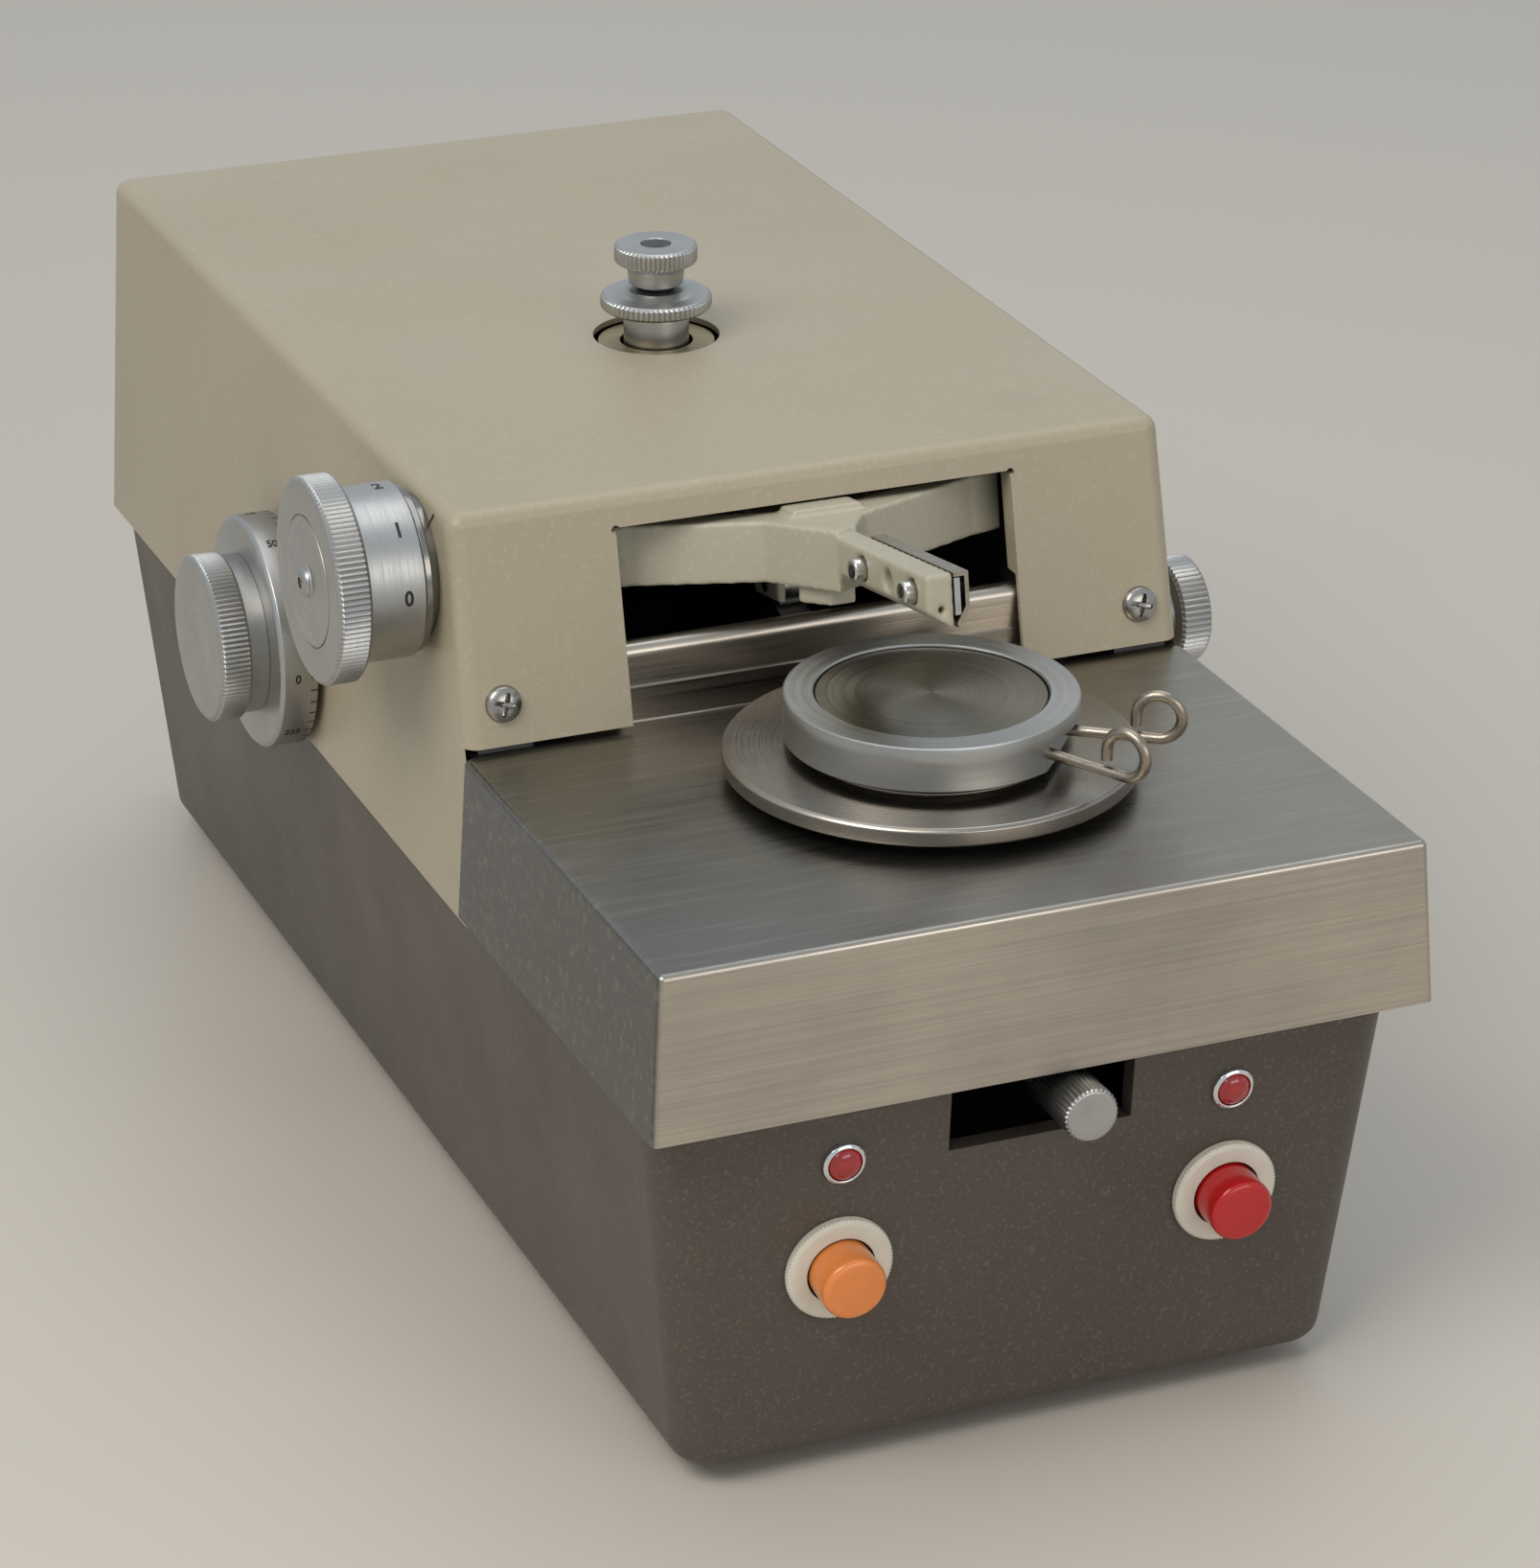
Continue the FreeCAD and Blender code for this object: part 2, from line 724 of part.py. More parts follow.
def make_hood():
    body = new_body("hood_shell")
    sheet = D.hood_sheet
    taper(body, "hood_outside",
         (both_sides(D.hood_bottom_half), (hood_front(HOOD_BOTTOM), hood_rear(HOOD_BOTTOM)), HOOD_BOTTOM),
         (both_sides(D.hood_top_half), (hood_front(HOOD_TOP), hood_rear(HOOD_TOP)), HOOD_TOP))
    ceiling = HOOD_TOP - sheet
    low = float(HOOD_BOTTOM) + 0.01
    round_edges(body, "hood_bends", D.hood_bend, lambda edge: edge.BoundBox.ZMax > low)
    taper(body, "hood_inside",
         (both_sides(D.hood_bottom_half - sheet),
          (hood_front(HOOD_BOTTOM) + sheet, hood_rear(HOOD_BOTTOM) - sheet), HOOD_BOTTOM),
         (both_sides(hood_half(ceiling) - sheet),
          (hood_front(ceiling) + sheet, hood_rear(ceiling) - sheet), ceiling),
         kind="Subtractive")
    wide = D.hood_bottom_half + 5
    window_top = D.window_level
    front_y = (FRONT + D.deck_depth - 20, FRONT + D.deck_depth + D.hood_front_rake + 4)
    tools = [
        box("hood_deck_notch", both_sides(wide), (front_y[0], FRONT + D.deck_depth),
            (HOOD_BOTTOM - 1, DECK_TOP + D.flange_gap)),
        box("hood_flange_trim", both_sides(D.hood_bottom_half - sheet), (front_y[0], front_y[1]),
            (HOOD_BOTTOM - 1, DECK_TOP + D.flange_gap)),
        box("hood_window", both_sides(D.window_half), front_y, (DECK_TOP - 2, window_top)),
        rod("force_opening", "z", D.force_hole_radius, (HOOD_TOP - 5, HOOD_TOP + 5), 0, FORCE_Y),
        rod("hand_opening", "x", D.hand_hub_radius + 1, (D.hood_top_half - 10, wide), CAM_Y, D.cam_level),
        rod("feed_opening", "x", FEED_SLEEVE + 1, (-wide, 10 - D.hood_top_half),
            FRONT + D.feed_back, D.feed_level),
        rod("rate_opening", "x", RATE_BUSH + 1, (-wide, 10 - D.hood_top_half),
            FRONT + D.rate_back, D.rate_level),
    ]
    for side, tag in ((-1, "left"), (1, "right")):
        tools.append(rod(f"window_relief_{tag}", "y", D.window_relief, front_y,
                         side * D.window_half, window_top - D.window_relief / 2))
        tools.append(rod(f"hood_screw_hole_{tag}", "y", HOOD_SHANK + D.free_gap, front_y,
                         side * D.hood_screw_half, D.hood_screw_level))
        tools.append(rod(f"hood_rear_hole_{tag}", "y", HOOD_SHANK + D.free_gap,
                         (hood_rear(HOOD_TOP) - 5, hood_rear(HOOD_BOTTOM) + 5),
                         side * REAR_SCREW_HALF, REAR_SCREW_LEVEL))
    returns = []
    for side, tag in ((-1, "left"), (1, "right")):
        low_level = DECK_TOP + 23
        high_level = window_top - 1
        points = [(hood_front(low_level) + 0.5, low_level),
                  (hood_front(low_level) + D.window_return, low_level),
                  (hood_front(high_level) + D.window_return, high_level),
                  (hood_front(high_level) + 0.5, high_level)]
        start = D.window_half if side > 0 else -D.window_half - sheet
        returns.append(prism(f"window_return_{tag}", "YZ", start, sheet, points))
    shell = cut("hood_cut", body, *tools)
    piece("hood", fuse("hood_with_returns", shell, *returns))


def cross_screw(name, head_radius, shank_radius, length):
    """A pan head screw along Y, its head at the front and its seat at 0."""
    head = 2.6
    body = turned(name, "y", [(-head, 0), (-head, head_radius * 0.45), (-head * 0.75, head_radius * 0.8),
                              (-head * 0.35, head_radius), (0, head_radius), (0, shank_radius),
                              (length, shank_radius), (length, 0)])
    return body


def make_hood_fixings():
    screws = []
    tabs = []
    rake = slope(D.hood_front_rake, D.hood_height - D.skirt_height)
    inner = D.hood_sheet + D.seat_gap
    tab_half = 7.0
    tab_depth = 5.0
    for side, tag in ((-1, "left"), (1, "right")):
        x = side * D.hood_screw_half
        screw = cross_screw(f"hood_screw_{tag}", D.hood_screw_head, HOOD_SHANK, 9.0)
        screws.append(put(screw, x, hood_front(D.hood_screw_level), D.hood_screw_level, pitch=-rake))
        low = DECK_TOP
        high = D.hood_screw_level + 7
        tab = prism(f"hood_tab_{tag}", "YZ", x - tab_half, 2 * tab_half,
                    [(hood_front(low) + inner, low), (hood_front(low) + inner + tab_depth + 2, low),
                     (hood_front(high) + inner + tab_depth, high), (hood_front(high) + inner, high)])
        hole = turned(f"hood_tab_hole_{tag}", "y", [(-5, 0), (-5, HOOD_SHANK + D.seat_gap),
                                                    (20, HOOD_SHANK + D.seat_gap), (20, 0)])
        put(hole, x, hood_front(D.hood_screw_level), D.hood_screw_level, pitch=-rake)
        tabs.append(cut(f"hood_tab_{tag}_cut", tab, hole))
    lean = slope(D.hood_rear_rake, D.hood_height + D.hood_drop)
    rear_tabs = []
    half_turn = 180.0
    for side, tag in ((-1, "left"), (1, "right")):
        x = side * REAR_SCREW_HALF
        at_y = hood_rear(REAR_SCREW_LEVEL)
        screw = cross_screw(f"hood_rear_screw_{tag}", D.hood_screw_head, HOOD_SHANK, 9.0)
        screws.append(put(screw, x, at_y, REAR_SCREW_LEVEL, pitch=lean + half_turn))
        high = REAR_SCREW_LEVEL + 7
        seat = base_rear(PARTING) - D.base_wall + 0.5
        tab = prism(f"rear_tab_{tag}", "YZ", x - tab_half, 2 * tab_half,
                    [(seat, PARTING), (hood_rear(PARTING) - inner, PARTING),
                     (hood_rear(high) - inner, high), (seat, high)])
        hole = turned(f"rear_tab_hole_{tag}", "y", [(-5, 0), (-5, HOOD_SHANK + D.seat_gap),
                                                    (20, HOOD_SHANK + D.seat_gap), (20, 0)])
        put(hole, x, at_y, REAR_SCREW_LEVEL, pitch=lean + half_turn)
        rear_tabs.append(cut(f"rear_tab_{tag}_cut", tab, hole))
    piece("hood_screws", group("hood_screw_set", *screws))
    piece("hood_brackets", group("hood_bracket_set", *tabs, *rear_tabs))


# Inner frame that carries the arm, the cam shaft and the top knobs

def mirrored(side, low, high):
    """The ends of a span that runs outward on the right, or its mirror image on the left."""
    return (low, high) if side > 0 else (-as_size(high), -as_size(low))


def make_frame():
    front = FRONT + D.frame_front_back
    rear = FRONT + D.frame_rear_back
    top = D.frame_level + D.bridge_sheet
    half = FRAME_OUTER
    bridge_half = 20.0
    solids = [box("frame_bridge", both_sides(half), (FORCE_Y - bridge_half, FORCE_Y + bridge_half),
                  (D.frame_level, top))]
    tools = [rod("bridge_hole", "z", FORCE_BUSH_NECK + D.seat_gap, (D.frame_level - 1, top + 1), 0, FORCE_Y)]
    foot = 12.0
    for side, tag in ((-1, "left"), (1, "right")):
        x = mirrored(side, D.frame_inner, half)
        span = (x[0] - 1, x[1] + 1)
        solids.append(box(f"frame_wall_{tag}", x, (front, rear), (CHASSIS, D.frame_level)))
        solids.append(box(f"frame_foot_{tag}", mirrored(side, D.frame_inner - foot, D.frame_inner + 1),
                          (front + 90, rear), (CHASSIS, CHASSIS + 5)))
        tools += [
            rod(f"frame_pivot_{tag}", "x", PIVOT_BUSH + D.seat_gap, span, PIVOT_Y, D.pivot_level),
            rod(f"frame_cam_{tag}", "x", CAM_BUSH + D.seat_gap, span, CAM_Y, D.cam_level),
            box(f"frame_window_{tag}", span, (FRONT + D.pivot_back + 14, FRONT + D.feed_back - 22),
                (CHASSIS + 18, D.frame_level - 30)),
        ]
    tools.append(rod("frame_feed", "x", FEED_SPIGOT + D.seat_gap, (-half - 1, 1 - D.frame_inner),
                     FRONT + D.feed_back, D.feed_level))
    guide_y = (front - 10, front + 3)
    guide_top = DECK_TOP - D.deck_sheet
    solids.append(box("frame_guide", (FEED_BAR_X[0] - 2, 1 - half), (front - 9, front + 2),
                      (FEED_BAR_LEVEL - 10, guide_top)))
    fit = D.running_fit
    bar_half = FEED_BAR_HALF + fit
    tools.append(box("frame_guide_way", (FEED_BAR_X[0] - fit, FEED_BAR_X[1] + fit), guide_y,
                     (FEED_BAR_LEVEL - bar_half, FEED_BAR_LEVEL + bar_half)))
    piece("inner_frame", cut("inner_frame_cut", fuse("inner_frame_solid", *solids), *tools))
    bushes = []
    flange = 1.5
    for name, outer, bore, y, level in (
            ("pivot_bush", PIVOT_BUSH, D.pivot_radius, PIVOT_Y, D.pivot_level),
            ("cam_bush", CAM_BUSH, D.shaft_radius, CAM_Y, D.cam_level)):
        for side, tag in ((-1, "left"), (1, "right")):
            sleeve = mirrored(side, D.frame_inner, half)
            collar = mirrored(side, D.frame_inner - flange, D.frame_inner)
            solid = fuse(f"{name}_{tag}_solid",
                         rod(f"{name}_{tag}_sleeve", "x", outer, sleeve, y, level),
                         rod(f"{name}_{tag}_collar", "x", outer + 2, collar, y, level))
            through = rod(f"{name}_{tag}_bore", "x", bore + fit,
                          mirrored(side, D.frame_inner - 10, half + 10), y, level)
            bushes.append(cut(f"{name}_{tag}", solid, through))
    piece("frame_bushes", group("frame_bush_set", *bushes))


# Chopping arm, drawn level about its pivot and placed at its raised angle

def arm_prism(name, low, high, points):
    return prism(name, "XY", low, high - low, points)


def make_arm():
    top = D.arm_leg_top
    bottom = D.arm_leg_bottom
    width = D.arm_leg_width
    outer = D.arm_leg_half
    inner = outer - width
    reach = -D.arm_reach
    nose = D.nose_width
    hub_front = -66.0
    hub_rear = -36.0
    leg_front = -28.0
    leg_rear = -18.0
    legs = []
    for side, tag in ((-1, "left"), (1, "right")):
        legs.append(arm_prism(f"arm_brace_{tag}", bottom, top, [
            (side * 7.0, -50.0), (side * inner, leg_front), (side * outer, leg_front + 3),
            (side * outer, leg_rear), (side * inner, leg_rear), (side * 7.0, hub_rear)][::side]))
        legs.append(box(f"arm_leg_{tag}", (inner, outer) if side > 0 else (-outer, -inner),
                        (leg_rear - 6, 0), (bottom, top)))
        legs.append(rod(f"arm_boss_{tag}", "x", 9.0,
                        (inner, outer + 4) if side > 0 else (-outer - 4, -inner), 0, 0))
    hub = arm_prism("arm_hub", bottom, top, [
        (-9.5, -34.0), (9.5, -34.0), (9.5, -46.0), (0, hub_front + 4), (-nose, hub_front), (-17.0, -44.3)])
    pad_top = arm_prism("arm_hub_pad", top - 1, top + 1.6, [
        (-9.0, -36.0), (9.0, -36.0), (9.0, -45.0), (-9.0, -45.0)])
    blade_bottom = D.arm_top - D.nose_blade_height
    side_bottom = D.arm_top - D.nose_side_height
    nose_bar = new_body("arm_nose")
    outline = polygon(sketch(nose_bar, "arm_nose_section", "XZ", 48.0),
                      [(-nose, side_bottom), (0, blade_bottom), (0, D.arm_top), (-nose, D.arm_top)])
    pad(nose_bar, outline, D.arm_reach - 48.0, "arm_nose_pad")
    under_boss = arm_prism("arm_under_boss", -11.0, bottom + 1, [
        (-nose, -59.2), (0, -59.2), (2.5, -50.5), (-nose - 5, -50.5)])
    tail_half = D.arm_tail_half
    spine_top = D.arm_spine_top
    hook_y = D.force_back - D.pivot_back
    shelf_rear = hook_y + D.arm_tail_half
    shelf_front = hook_y - D.arm_shelf_front
    shelf_low = D.arm_shelf_top - D.arm_shelf_sheet
    spine = box("arm_spine", both_sides(tail_half), (-36, shelf_front), (bottom, spine_top))
    spine_boss = rod("arm_spine_boss", "x", 9.0, both_sides(tail_half), 0, 0)
    cross = box("arm_cross", both_sides(inner + 1), (10.0, 20.0), (bottom, spine_top))
    leg_link = [box(f"arm_leg_link_{tag}", (inner, outer) if side > 0 else (-outer, -inner),
                    (-1, 20.0), (bottom, spine_top)) for side, tag in ((-1, "left"), (1, "right"))]
    drop = box("arm_tail_drop", both_sides(tail_half), (shelf_front - tail_half, shelf_front),
               (shelf_low, spine_top))
    shelf = box("arm_tail_shelf", both_sides(tail_half), (shelf_front - 1, shelf_rear),
                (shelf_low, D.arm_shelf_top))
    post = box("arm_post", both_sides(D.post_half), (-26.0, -10.0), (-16.5, bottom + 1))
    solid = fuse("arm_solid", *legs, hub, pad_top, nose_bar, under_boss, spine, spine_boss, cross,
                 *leg_link, drop, shelf, post)
    gap = D.roller_width / 2 + D.free_gap
    screw_y = clamp_screw_places()
    tools = [
        rod("arm_pivot_bore", "x", D.pivot_radius, both_sides(outer + 6), 0, 0),
        box("arm_post_slot", both_sides(gap), (-28.0, -8.0), (-20.0, bottom - 1)),
        rod("arm_roller_bore", "x", ROLLER_PIN, both_sides(D.post_half + 1), -D.roller_ahead, -D.roller_below),
        rod("arm_plain_hole", "x", 2.6, (-nose - 1, 1), (screw_y[0] + screw_y[1]) / 2 - 0.5, NOSE_AXIS),
        rod("arm_tip_hole", "y", 0.9, (reach - 1, reach + 6), -nose * 0.45, -1.2),
    ]
    for i, y in enumerate(screw_y):
        tools.append(rod(f"arm_counterbore_{i}", "x", CLAMP_HEAD + 0.3, (-nose - 1, -nose + 3.0), y, NOSE_AXIS))
        tools.append(rod(f"arm_clamp_hole_{i}", "x", CLAMP_SHANK + D.seat_gap, (-nose - 1, 1), y, NOSE_AXIS))
    place_on_arm("arm_casting", cut("arm_cut", solid, *tools))


def clamp_screw_places():
    first = -D.arm_reach + 9.0
    return [first, first + D.clamp_screw_pitch]


def place_on_arm(label, item):
    return piece(label, item, y=PIVOT_Y, z=D.pivot_level, pitch=-D.lift_angle)


def make_clamp():
    """Blade clamp on the right flank of the nose: an outer channel, an inner bar and two screws."""
    reach = -D.arm_reach
    top = D.arm_top
    apex = top - D.nose_blade_height
    width = D.clamp_width
    wall = 1.0
    rear = reach + D.clamp_length
    channel = new_body("clamp_channel")
    start = -rear
    outline = polygon(sketch(channel, "clamp_section", "XZ", start), [
        (0.3, top - 1.0), (0.3, top), (width, top), (width, apex + 4.5), (1.0, apex + 0.3), (0.7, apex + 1.5),
        (width - wall, apex + 5.2), (width - wall, top - 1.0)])
    pad(channel, outline, D.clamp_length, "clamp_channel_pad")
    bar = box("clamp_bar_blank", (0.35, 1.8), (reach, rear), (apex + 3.4, top - 1.3))
    channel_tools = []
    bar_tools = []
    screws = []
    for i, y in enumerate(clamp_screw_places()):
        channel_tools.append(rod(f"clamp_hole_{i}", "x", CLAMP_SHANK + D.seat_gap, (0, width + 1), y, NOSE_AXIS))
        bar_tools.append(rod(f"bar_hole_{i}", "x", CLAMP_SHANK + D.seat_gap, (0, width + 1), y, NOSE_AXIS))
        nose = D.nose_width
        head = rod(f"clamp_screw_head_{i}", "x", CLAMP_HEAD, (-nose - D.clamp_head_stand, -nose + 3.0), y,
                   NOSE_AXIS)
        shank = rod(f"clamp_screw_shank_{i}", "x", CLAMP_SHANK, (-nose + 1, width + 0.4), y, NOSE_AXIS)
        socket = rod(f"clamp_screw_socket_{i}", "x", 1.3, (-nose - D.clamp_head_stand - 1, -nose + 0.4), y,
                     NOSE_AXIS)
        screws.append(cut(f"clamp_screw_{i}", fuse(f"clamp_screw_solid_{i}", head, shank), socket))
    place_on_arm("blade_clamp", cut("blade_clamp_cut", channel, *channel_tools))
    place_on_arm("clamp_bar", cut("clamp_bar_cut", bar, *bar_tools))
    place_on_arm("clamp_screws", group("clamp_screw_set", *screws))


def make_arm_fittings():
    outer = FRAME_OUTER + 1.5
    place_on_arm("arm_pivot_shaft", group("pivot_shaft", rod("pivot_rod", "x", D.pivot_radius - PRESS_GAP,
                                                             both_sides(outer), 0, 0)))
    half = D.roller_width / 2
    journal = ROLLER_PIN - D.running_fit
    roller = turned("roller_body", "x", [
        (-D.post_half, 0), (-D.post_half, journal), (-half, journal), (-half, D.roller_radius),
        (half, D.roller_radius), (half, journal), (D.post_half, journal), (D.post_half, 0)])
    put(roller, 0, -D.roller_ahead, -D.roller_below)
    place_on_arm("follower_roller", group("roller_one", roller))


# Cams: each pushes its follower in proportion to the shaft's turn, then lets it drop back

def arm_follower(share):
    """The arm roller's centre from the cam shaft at a share of the full lift."""
    angle = math.radians(SIZES["lift_angle"] * share)
    ahead = SIZES["roller_ahead"]
    below = SIZES["roller_below"]
    y = SIZES["pivot_back"] - ahead * math.cos(angle) - below * math.sin(angle)
    z = SIZES["pivot_level"] + ahead * math.sin(angle) - below * math.cos(angle)
    return y - SIZES["cam_back"], z - SIZES["cam_level"]


def feed_follower(share):
    """The feed bar's rear nose centre from the cam shaft at a share of its stroke."""
    return -float(FEED_CAM_RADIUS) - SIZES["feed_stroke"] * share, float(FEED_BAR_LEVEL) - SIZES["cam_level"]


def cam_shape(follower, nose_radius, width):
    """A snail cam from X 0; its edge is a smooth curve over the sweep, closed by a drop."""
    steps = 44
    points = []
    for i in range(steps + 1):
        share = i / steps
        y, z = follower(share)
        radius = math.hypot(y, z) - nose_radius - SIZES["cam_gap"]
        turn = math.atan2(z, y) + math.radians(SIZES["cam_sweep"] * (1 - share))
        points.append(Vector(0, radius * math.cos(turn), radius * math.sin(turn)))
    curve = Part.BSplineCurve()
    curve.interpolate(points)
    face = Part.Face(Part.Wire([curve.toShape(), Part.makeLine(points[-1], points[0])]))
    solid = face.extrude(Vector(width, 0, 0))
    margin = 1
    bore = Part.makeCylinder(SIZES["shaft_radius"] + PRESS_GAP, width + 2 * margin, Vector(-margin, 0, 0), X_AXIS)
    return solid.cut(bore)


def make_cam_shaft():
    cam = doc.addObject("Part::Feature", "lift_cam_solid")
    cam.Shape = cam_shape(arm_follower, SIZES["roller_radius"], SIZES["cam_width"])
    piece("lift_cam", cam, x=-D.cam_width / 2, y=CAM_Y, z=D.cam_level)
    feed = doc.addObject("Part::Feature", "feed_cam_solid")
    feed.Shape = cam_shape(feed_follower, float(FEED_NOSE), FEED_BAR_WIDTH)
    piece("feed_cam", feed, x=FEED_BAR_X[0], y=CAM_Y, z=D.cam_level)
    reach = D.hand_reach
    shaft = rod("cam_shaft_rod", "x", D.shaft_radius, (FEED_BAR_X[0] - 2, reach - 2), CAM_Y, D.cam_level)
    piece("cam_shaft", group("cam_shaft_one", shaft))
    bore = D.shaft_radius + PRESS_GAP
    centre = D.pulley_x + D.pulley_width / 2
    pulley = turned("cam_pulley_wheel", "x", pulley_profile(D.pulley_radius, bore))
    piece("cam_pulley", pulley, x=centre, y=CAM_Y, z=D.cam_level)
    width = D.hand_width
    hub = D.hand_hub_radius
    radius = D.hand_radius
    edge = 0.8
    cap = 2.0
    hub_start = hood_half(D.cam_level) + 1.5
    length = reach - hub_start
    knob = turned("hand_knob_body", "x", [
        (0, bore), (0, hub), (length - width, hub), (length - width, radius - edge),
        (length - width + edge, radius), (length - edge, radius), (length, radius - edge), (length, 0),
        (length - cap, 0), (length - cap, bore)])
    piece("hand_knob", knob, x=hub_start, y=CAM_Y, z=D.cam_level)


def pulley_profile(radius, bore):
    """A flat-belt pulley with two low rims, centred on its width."""
    half = D.pulley_width / 2
    rim = 1.0
    depth = D.belt_thickness + PULLEY_RIM
    return [(-half, bore), (-half, radius), (-half + rim, radius), (-half + rim, radius - depth),
            (half - rim, radius - depth), (half - rim, radius), (half, radius), (half, bore)]


def make_drive():
    y = FRONT + D.motor_back
    level = D.motor_level
    length = D.motor_half_length
    radius = D.motor_radius
    bore = MOTOR_SHAFT + D.running_fit
    gearhead = 14.0
    nose = 2.0
    can = turned("motor_can", "x", [
        (-length, 0), (-length, radius - 3), (3 - length, radius), (length - gearhead, radius),
        (length - gearhead, radius - 6), (length, radius - 6), (length, 8), (length + nose, 8),
        (length + nose, bore), (length - 10, bore), (length - 10, 0)])
    put(can, 0, y, level)
    foot = box("motor_foot", both_sides(length - gearhead), (y - radius + 4, y + radius - 4),
               (CHASSIS, level - radius + 6))
    piece("motor", fuse("motor_solid", can, foot))
    shaft_end = D.pulley_x + D.pulley_width + 2
    shaft = rod("motor_shaft_rod", "x", MOTOR_SHAFT, (length - 8, shaft_end), 0, 0)
    wheel = turned("motor_pulley_wheel", "x", pulley_profile(D.motor_pulley_radius, MOTOR_SHAFT - 1))
    put(wheel, D.pulley_x + D.pulley_width / 2, 0, 0)
    piece("motor_pulley", fuse("motor_pulley_solid", shaft, wheel), y=y, z=level)
    belt = doc.addObject("Part::Feature", "belt_loop")
    belt.Shape = belt_solid()
    piece("drive_belt", belt, x=D.pulley_x + (D.pulley_width - D.belt_width) / 2, y=CAM_Y, z=D.cam_level)


def belt_solid():
    """A flat belt round both pulleys: two arcs joined by straight tangent runs, from the cam shaft's axis."""
    depth = PULLEY_RIM + SIZES["belt_thickness"]
    seat = SIZES["free_gap"]
    big = SIZES["pulley_radius"] - depth + seat
    small = SIZES["motor_pulley_radius"] - depth + seat
    run = Vector(0, SIZES["motor_back"] - SIZES["cam_back"], SIZES["motor_level"] - SIZES["cam_level"])
    outer = belt_face(run, big + SIZES["belt_thickness"], small + SIZES["belt_thickness"])
    inner = belt_face(run, big, small)
    return outer.cut(inner).extrude(Vector(SIZES["belt_width"], 0, 0))


def belt_face(run, radius_a, radius_b):
    """The outline that wraps a circle at 0 and one at the end of the run, as a face in the YZ plane."""
    heading = math.atan2(run.z, run.y)
    lean = math.acos((radius_a - radius_b) / run.Length)

    def on(centre, radius, angle):
        return centre + Vector(0, radius * math.cos(angle), radius * math.sin(angle))

    start = Vector()
    upper_a = on(start, radius_a, heading + lean)
    upper_b = on(run, radius_b, heading + lean)
    lower_a = on(start, radius_a, heading - lean)
    lower_b = on(run, radius_b, heading - lean)
    edges = [
        Part.makeLine(upper_a, upper_b),
        Part.Arc(upper_b, on(run, radius_b, heading), lower_b).toShape(),
        Part.makeLine(lower_b, lower_a),
        Part.Arc(lower_a, on(start, radius_a, heading + math.pi), upper_a).toShape(),
    ]
    return Part.Face(Part.Wire(edges))


# Specimen table and its carriage

def make_carriage():
    x = D.table_x
    half = 20.0
    y_half = D.rod_half_pitch + 8
    block_low = D.rod_level - 8
    block_high = D.rod_level + 9
    bore = D.spindle_radius + D.running_fit
    block = box("carriage_block", (x - half, x + half), (TABLE_Y - y_half, TABLE_Y + y_half), (block_low, block_high))
    neck = rod("carriage_neck", "z", 11.0, (block_high - 1, DECK_TOP - D.deck_sheet - 5), x, TABLE_Y)
    tongue = box("carriage_tongue", (D.release_x - 9, D.release_x + 9), (TABLE_Y - y_half, TABLE_Y - y_half + 8),
                 (CHASSIS + 4, block_low + 1))
    tools = [rod("spindle_bore", "z", bore, (block_low + 3, DECK_TOP), x, TABLE_Y)]
    for side, tag in ((-1, "front"), (1, "rear")):
        tools.append(rod(f"rod_bore_{tag}", "x", D.rod_radius + D.running_fit, (x - half - 1, x + half + 1),
                         TABLE_Y + side * D.rod_half_pitch, D.rod_level))
    tools.append(rod("release_bore", "y", RELEASE_STEM + D.running_fit, (TABLE_Y - y_half - 1, TABLE_Y - y_half + 9),
                     D.release_x, D.release_level))
    piece("table_carriage", cut("carriage_cut", fuse("carriage_solid", block, neck, tongue), *tools))
    nut = box("half_nut_block", (x - 8, x + 8), (TABLE_Y - 9, TABLE_Y + 9), (D.screw_level + 0.5, block_low))
    groove = rod("half_nut_groove", "x", D.screw_radius + D.free_gap, (x - 9, x + 9), TABLE_Y, D.screw_level)
    piece("half_nut", cut("half_nut_cut", nut, groove))
    rods = [rod(f"guide_rod_{tag}", "x", D.rod_radius, both_sides(D.rail_half + D.rail_thickness - 1),
                TABLE_Y + side * D.rod_half_pitch, D.rod_level) for side, tag in ((-1, "front"), (1, "rear"))]
    piece("guide_rods", group("guide_rod_set", *rods))
    rails = []
    rail_top = DECK_TOP - D.deck_sheet
    for side, tag in ((-1, "left"), (1, "right")):
        span = mirrored(side, D.rail_half, D.rail_half + D.rail_thickness)
        rail = box(f"rail_{tag}_blank", span, (TABLE_Y - y_half, TABLE_Y + y_half), (CHASSIS, rail_top))
        wide = (span[0] - 1, span[1] + 1)
        holes = [rod(f"rail_{tag}_rod_{i}", "x", D.rod_radius + PRESS_GAP, wide,
                     TABLE_Y + i * D.rod_half_pitch, D.rod_level) for i in (-1, 1)]
        holes.append(rod(f"rail_{tag}_screw", "x", D.screw_radius + D.running_fit, wide,
                         TABLE_Y, D.screw_level))
        rails.append(cut(f"rail_{tag}_cut", rail, *holes))
    piece("rail_blocks", group("rail_block_set", *rails))
    outer = D.rail_half + D.rail_thickness
    screw = rod("lead_screw_rod", "x", D.screw_radius, (FEED_BAR_X[0] - 1, outer + 3), TABLE_Y, D.screw_level)
    piece("lead_screw", group("lead_screw_one", screw))


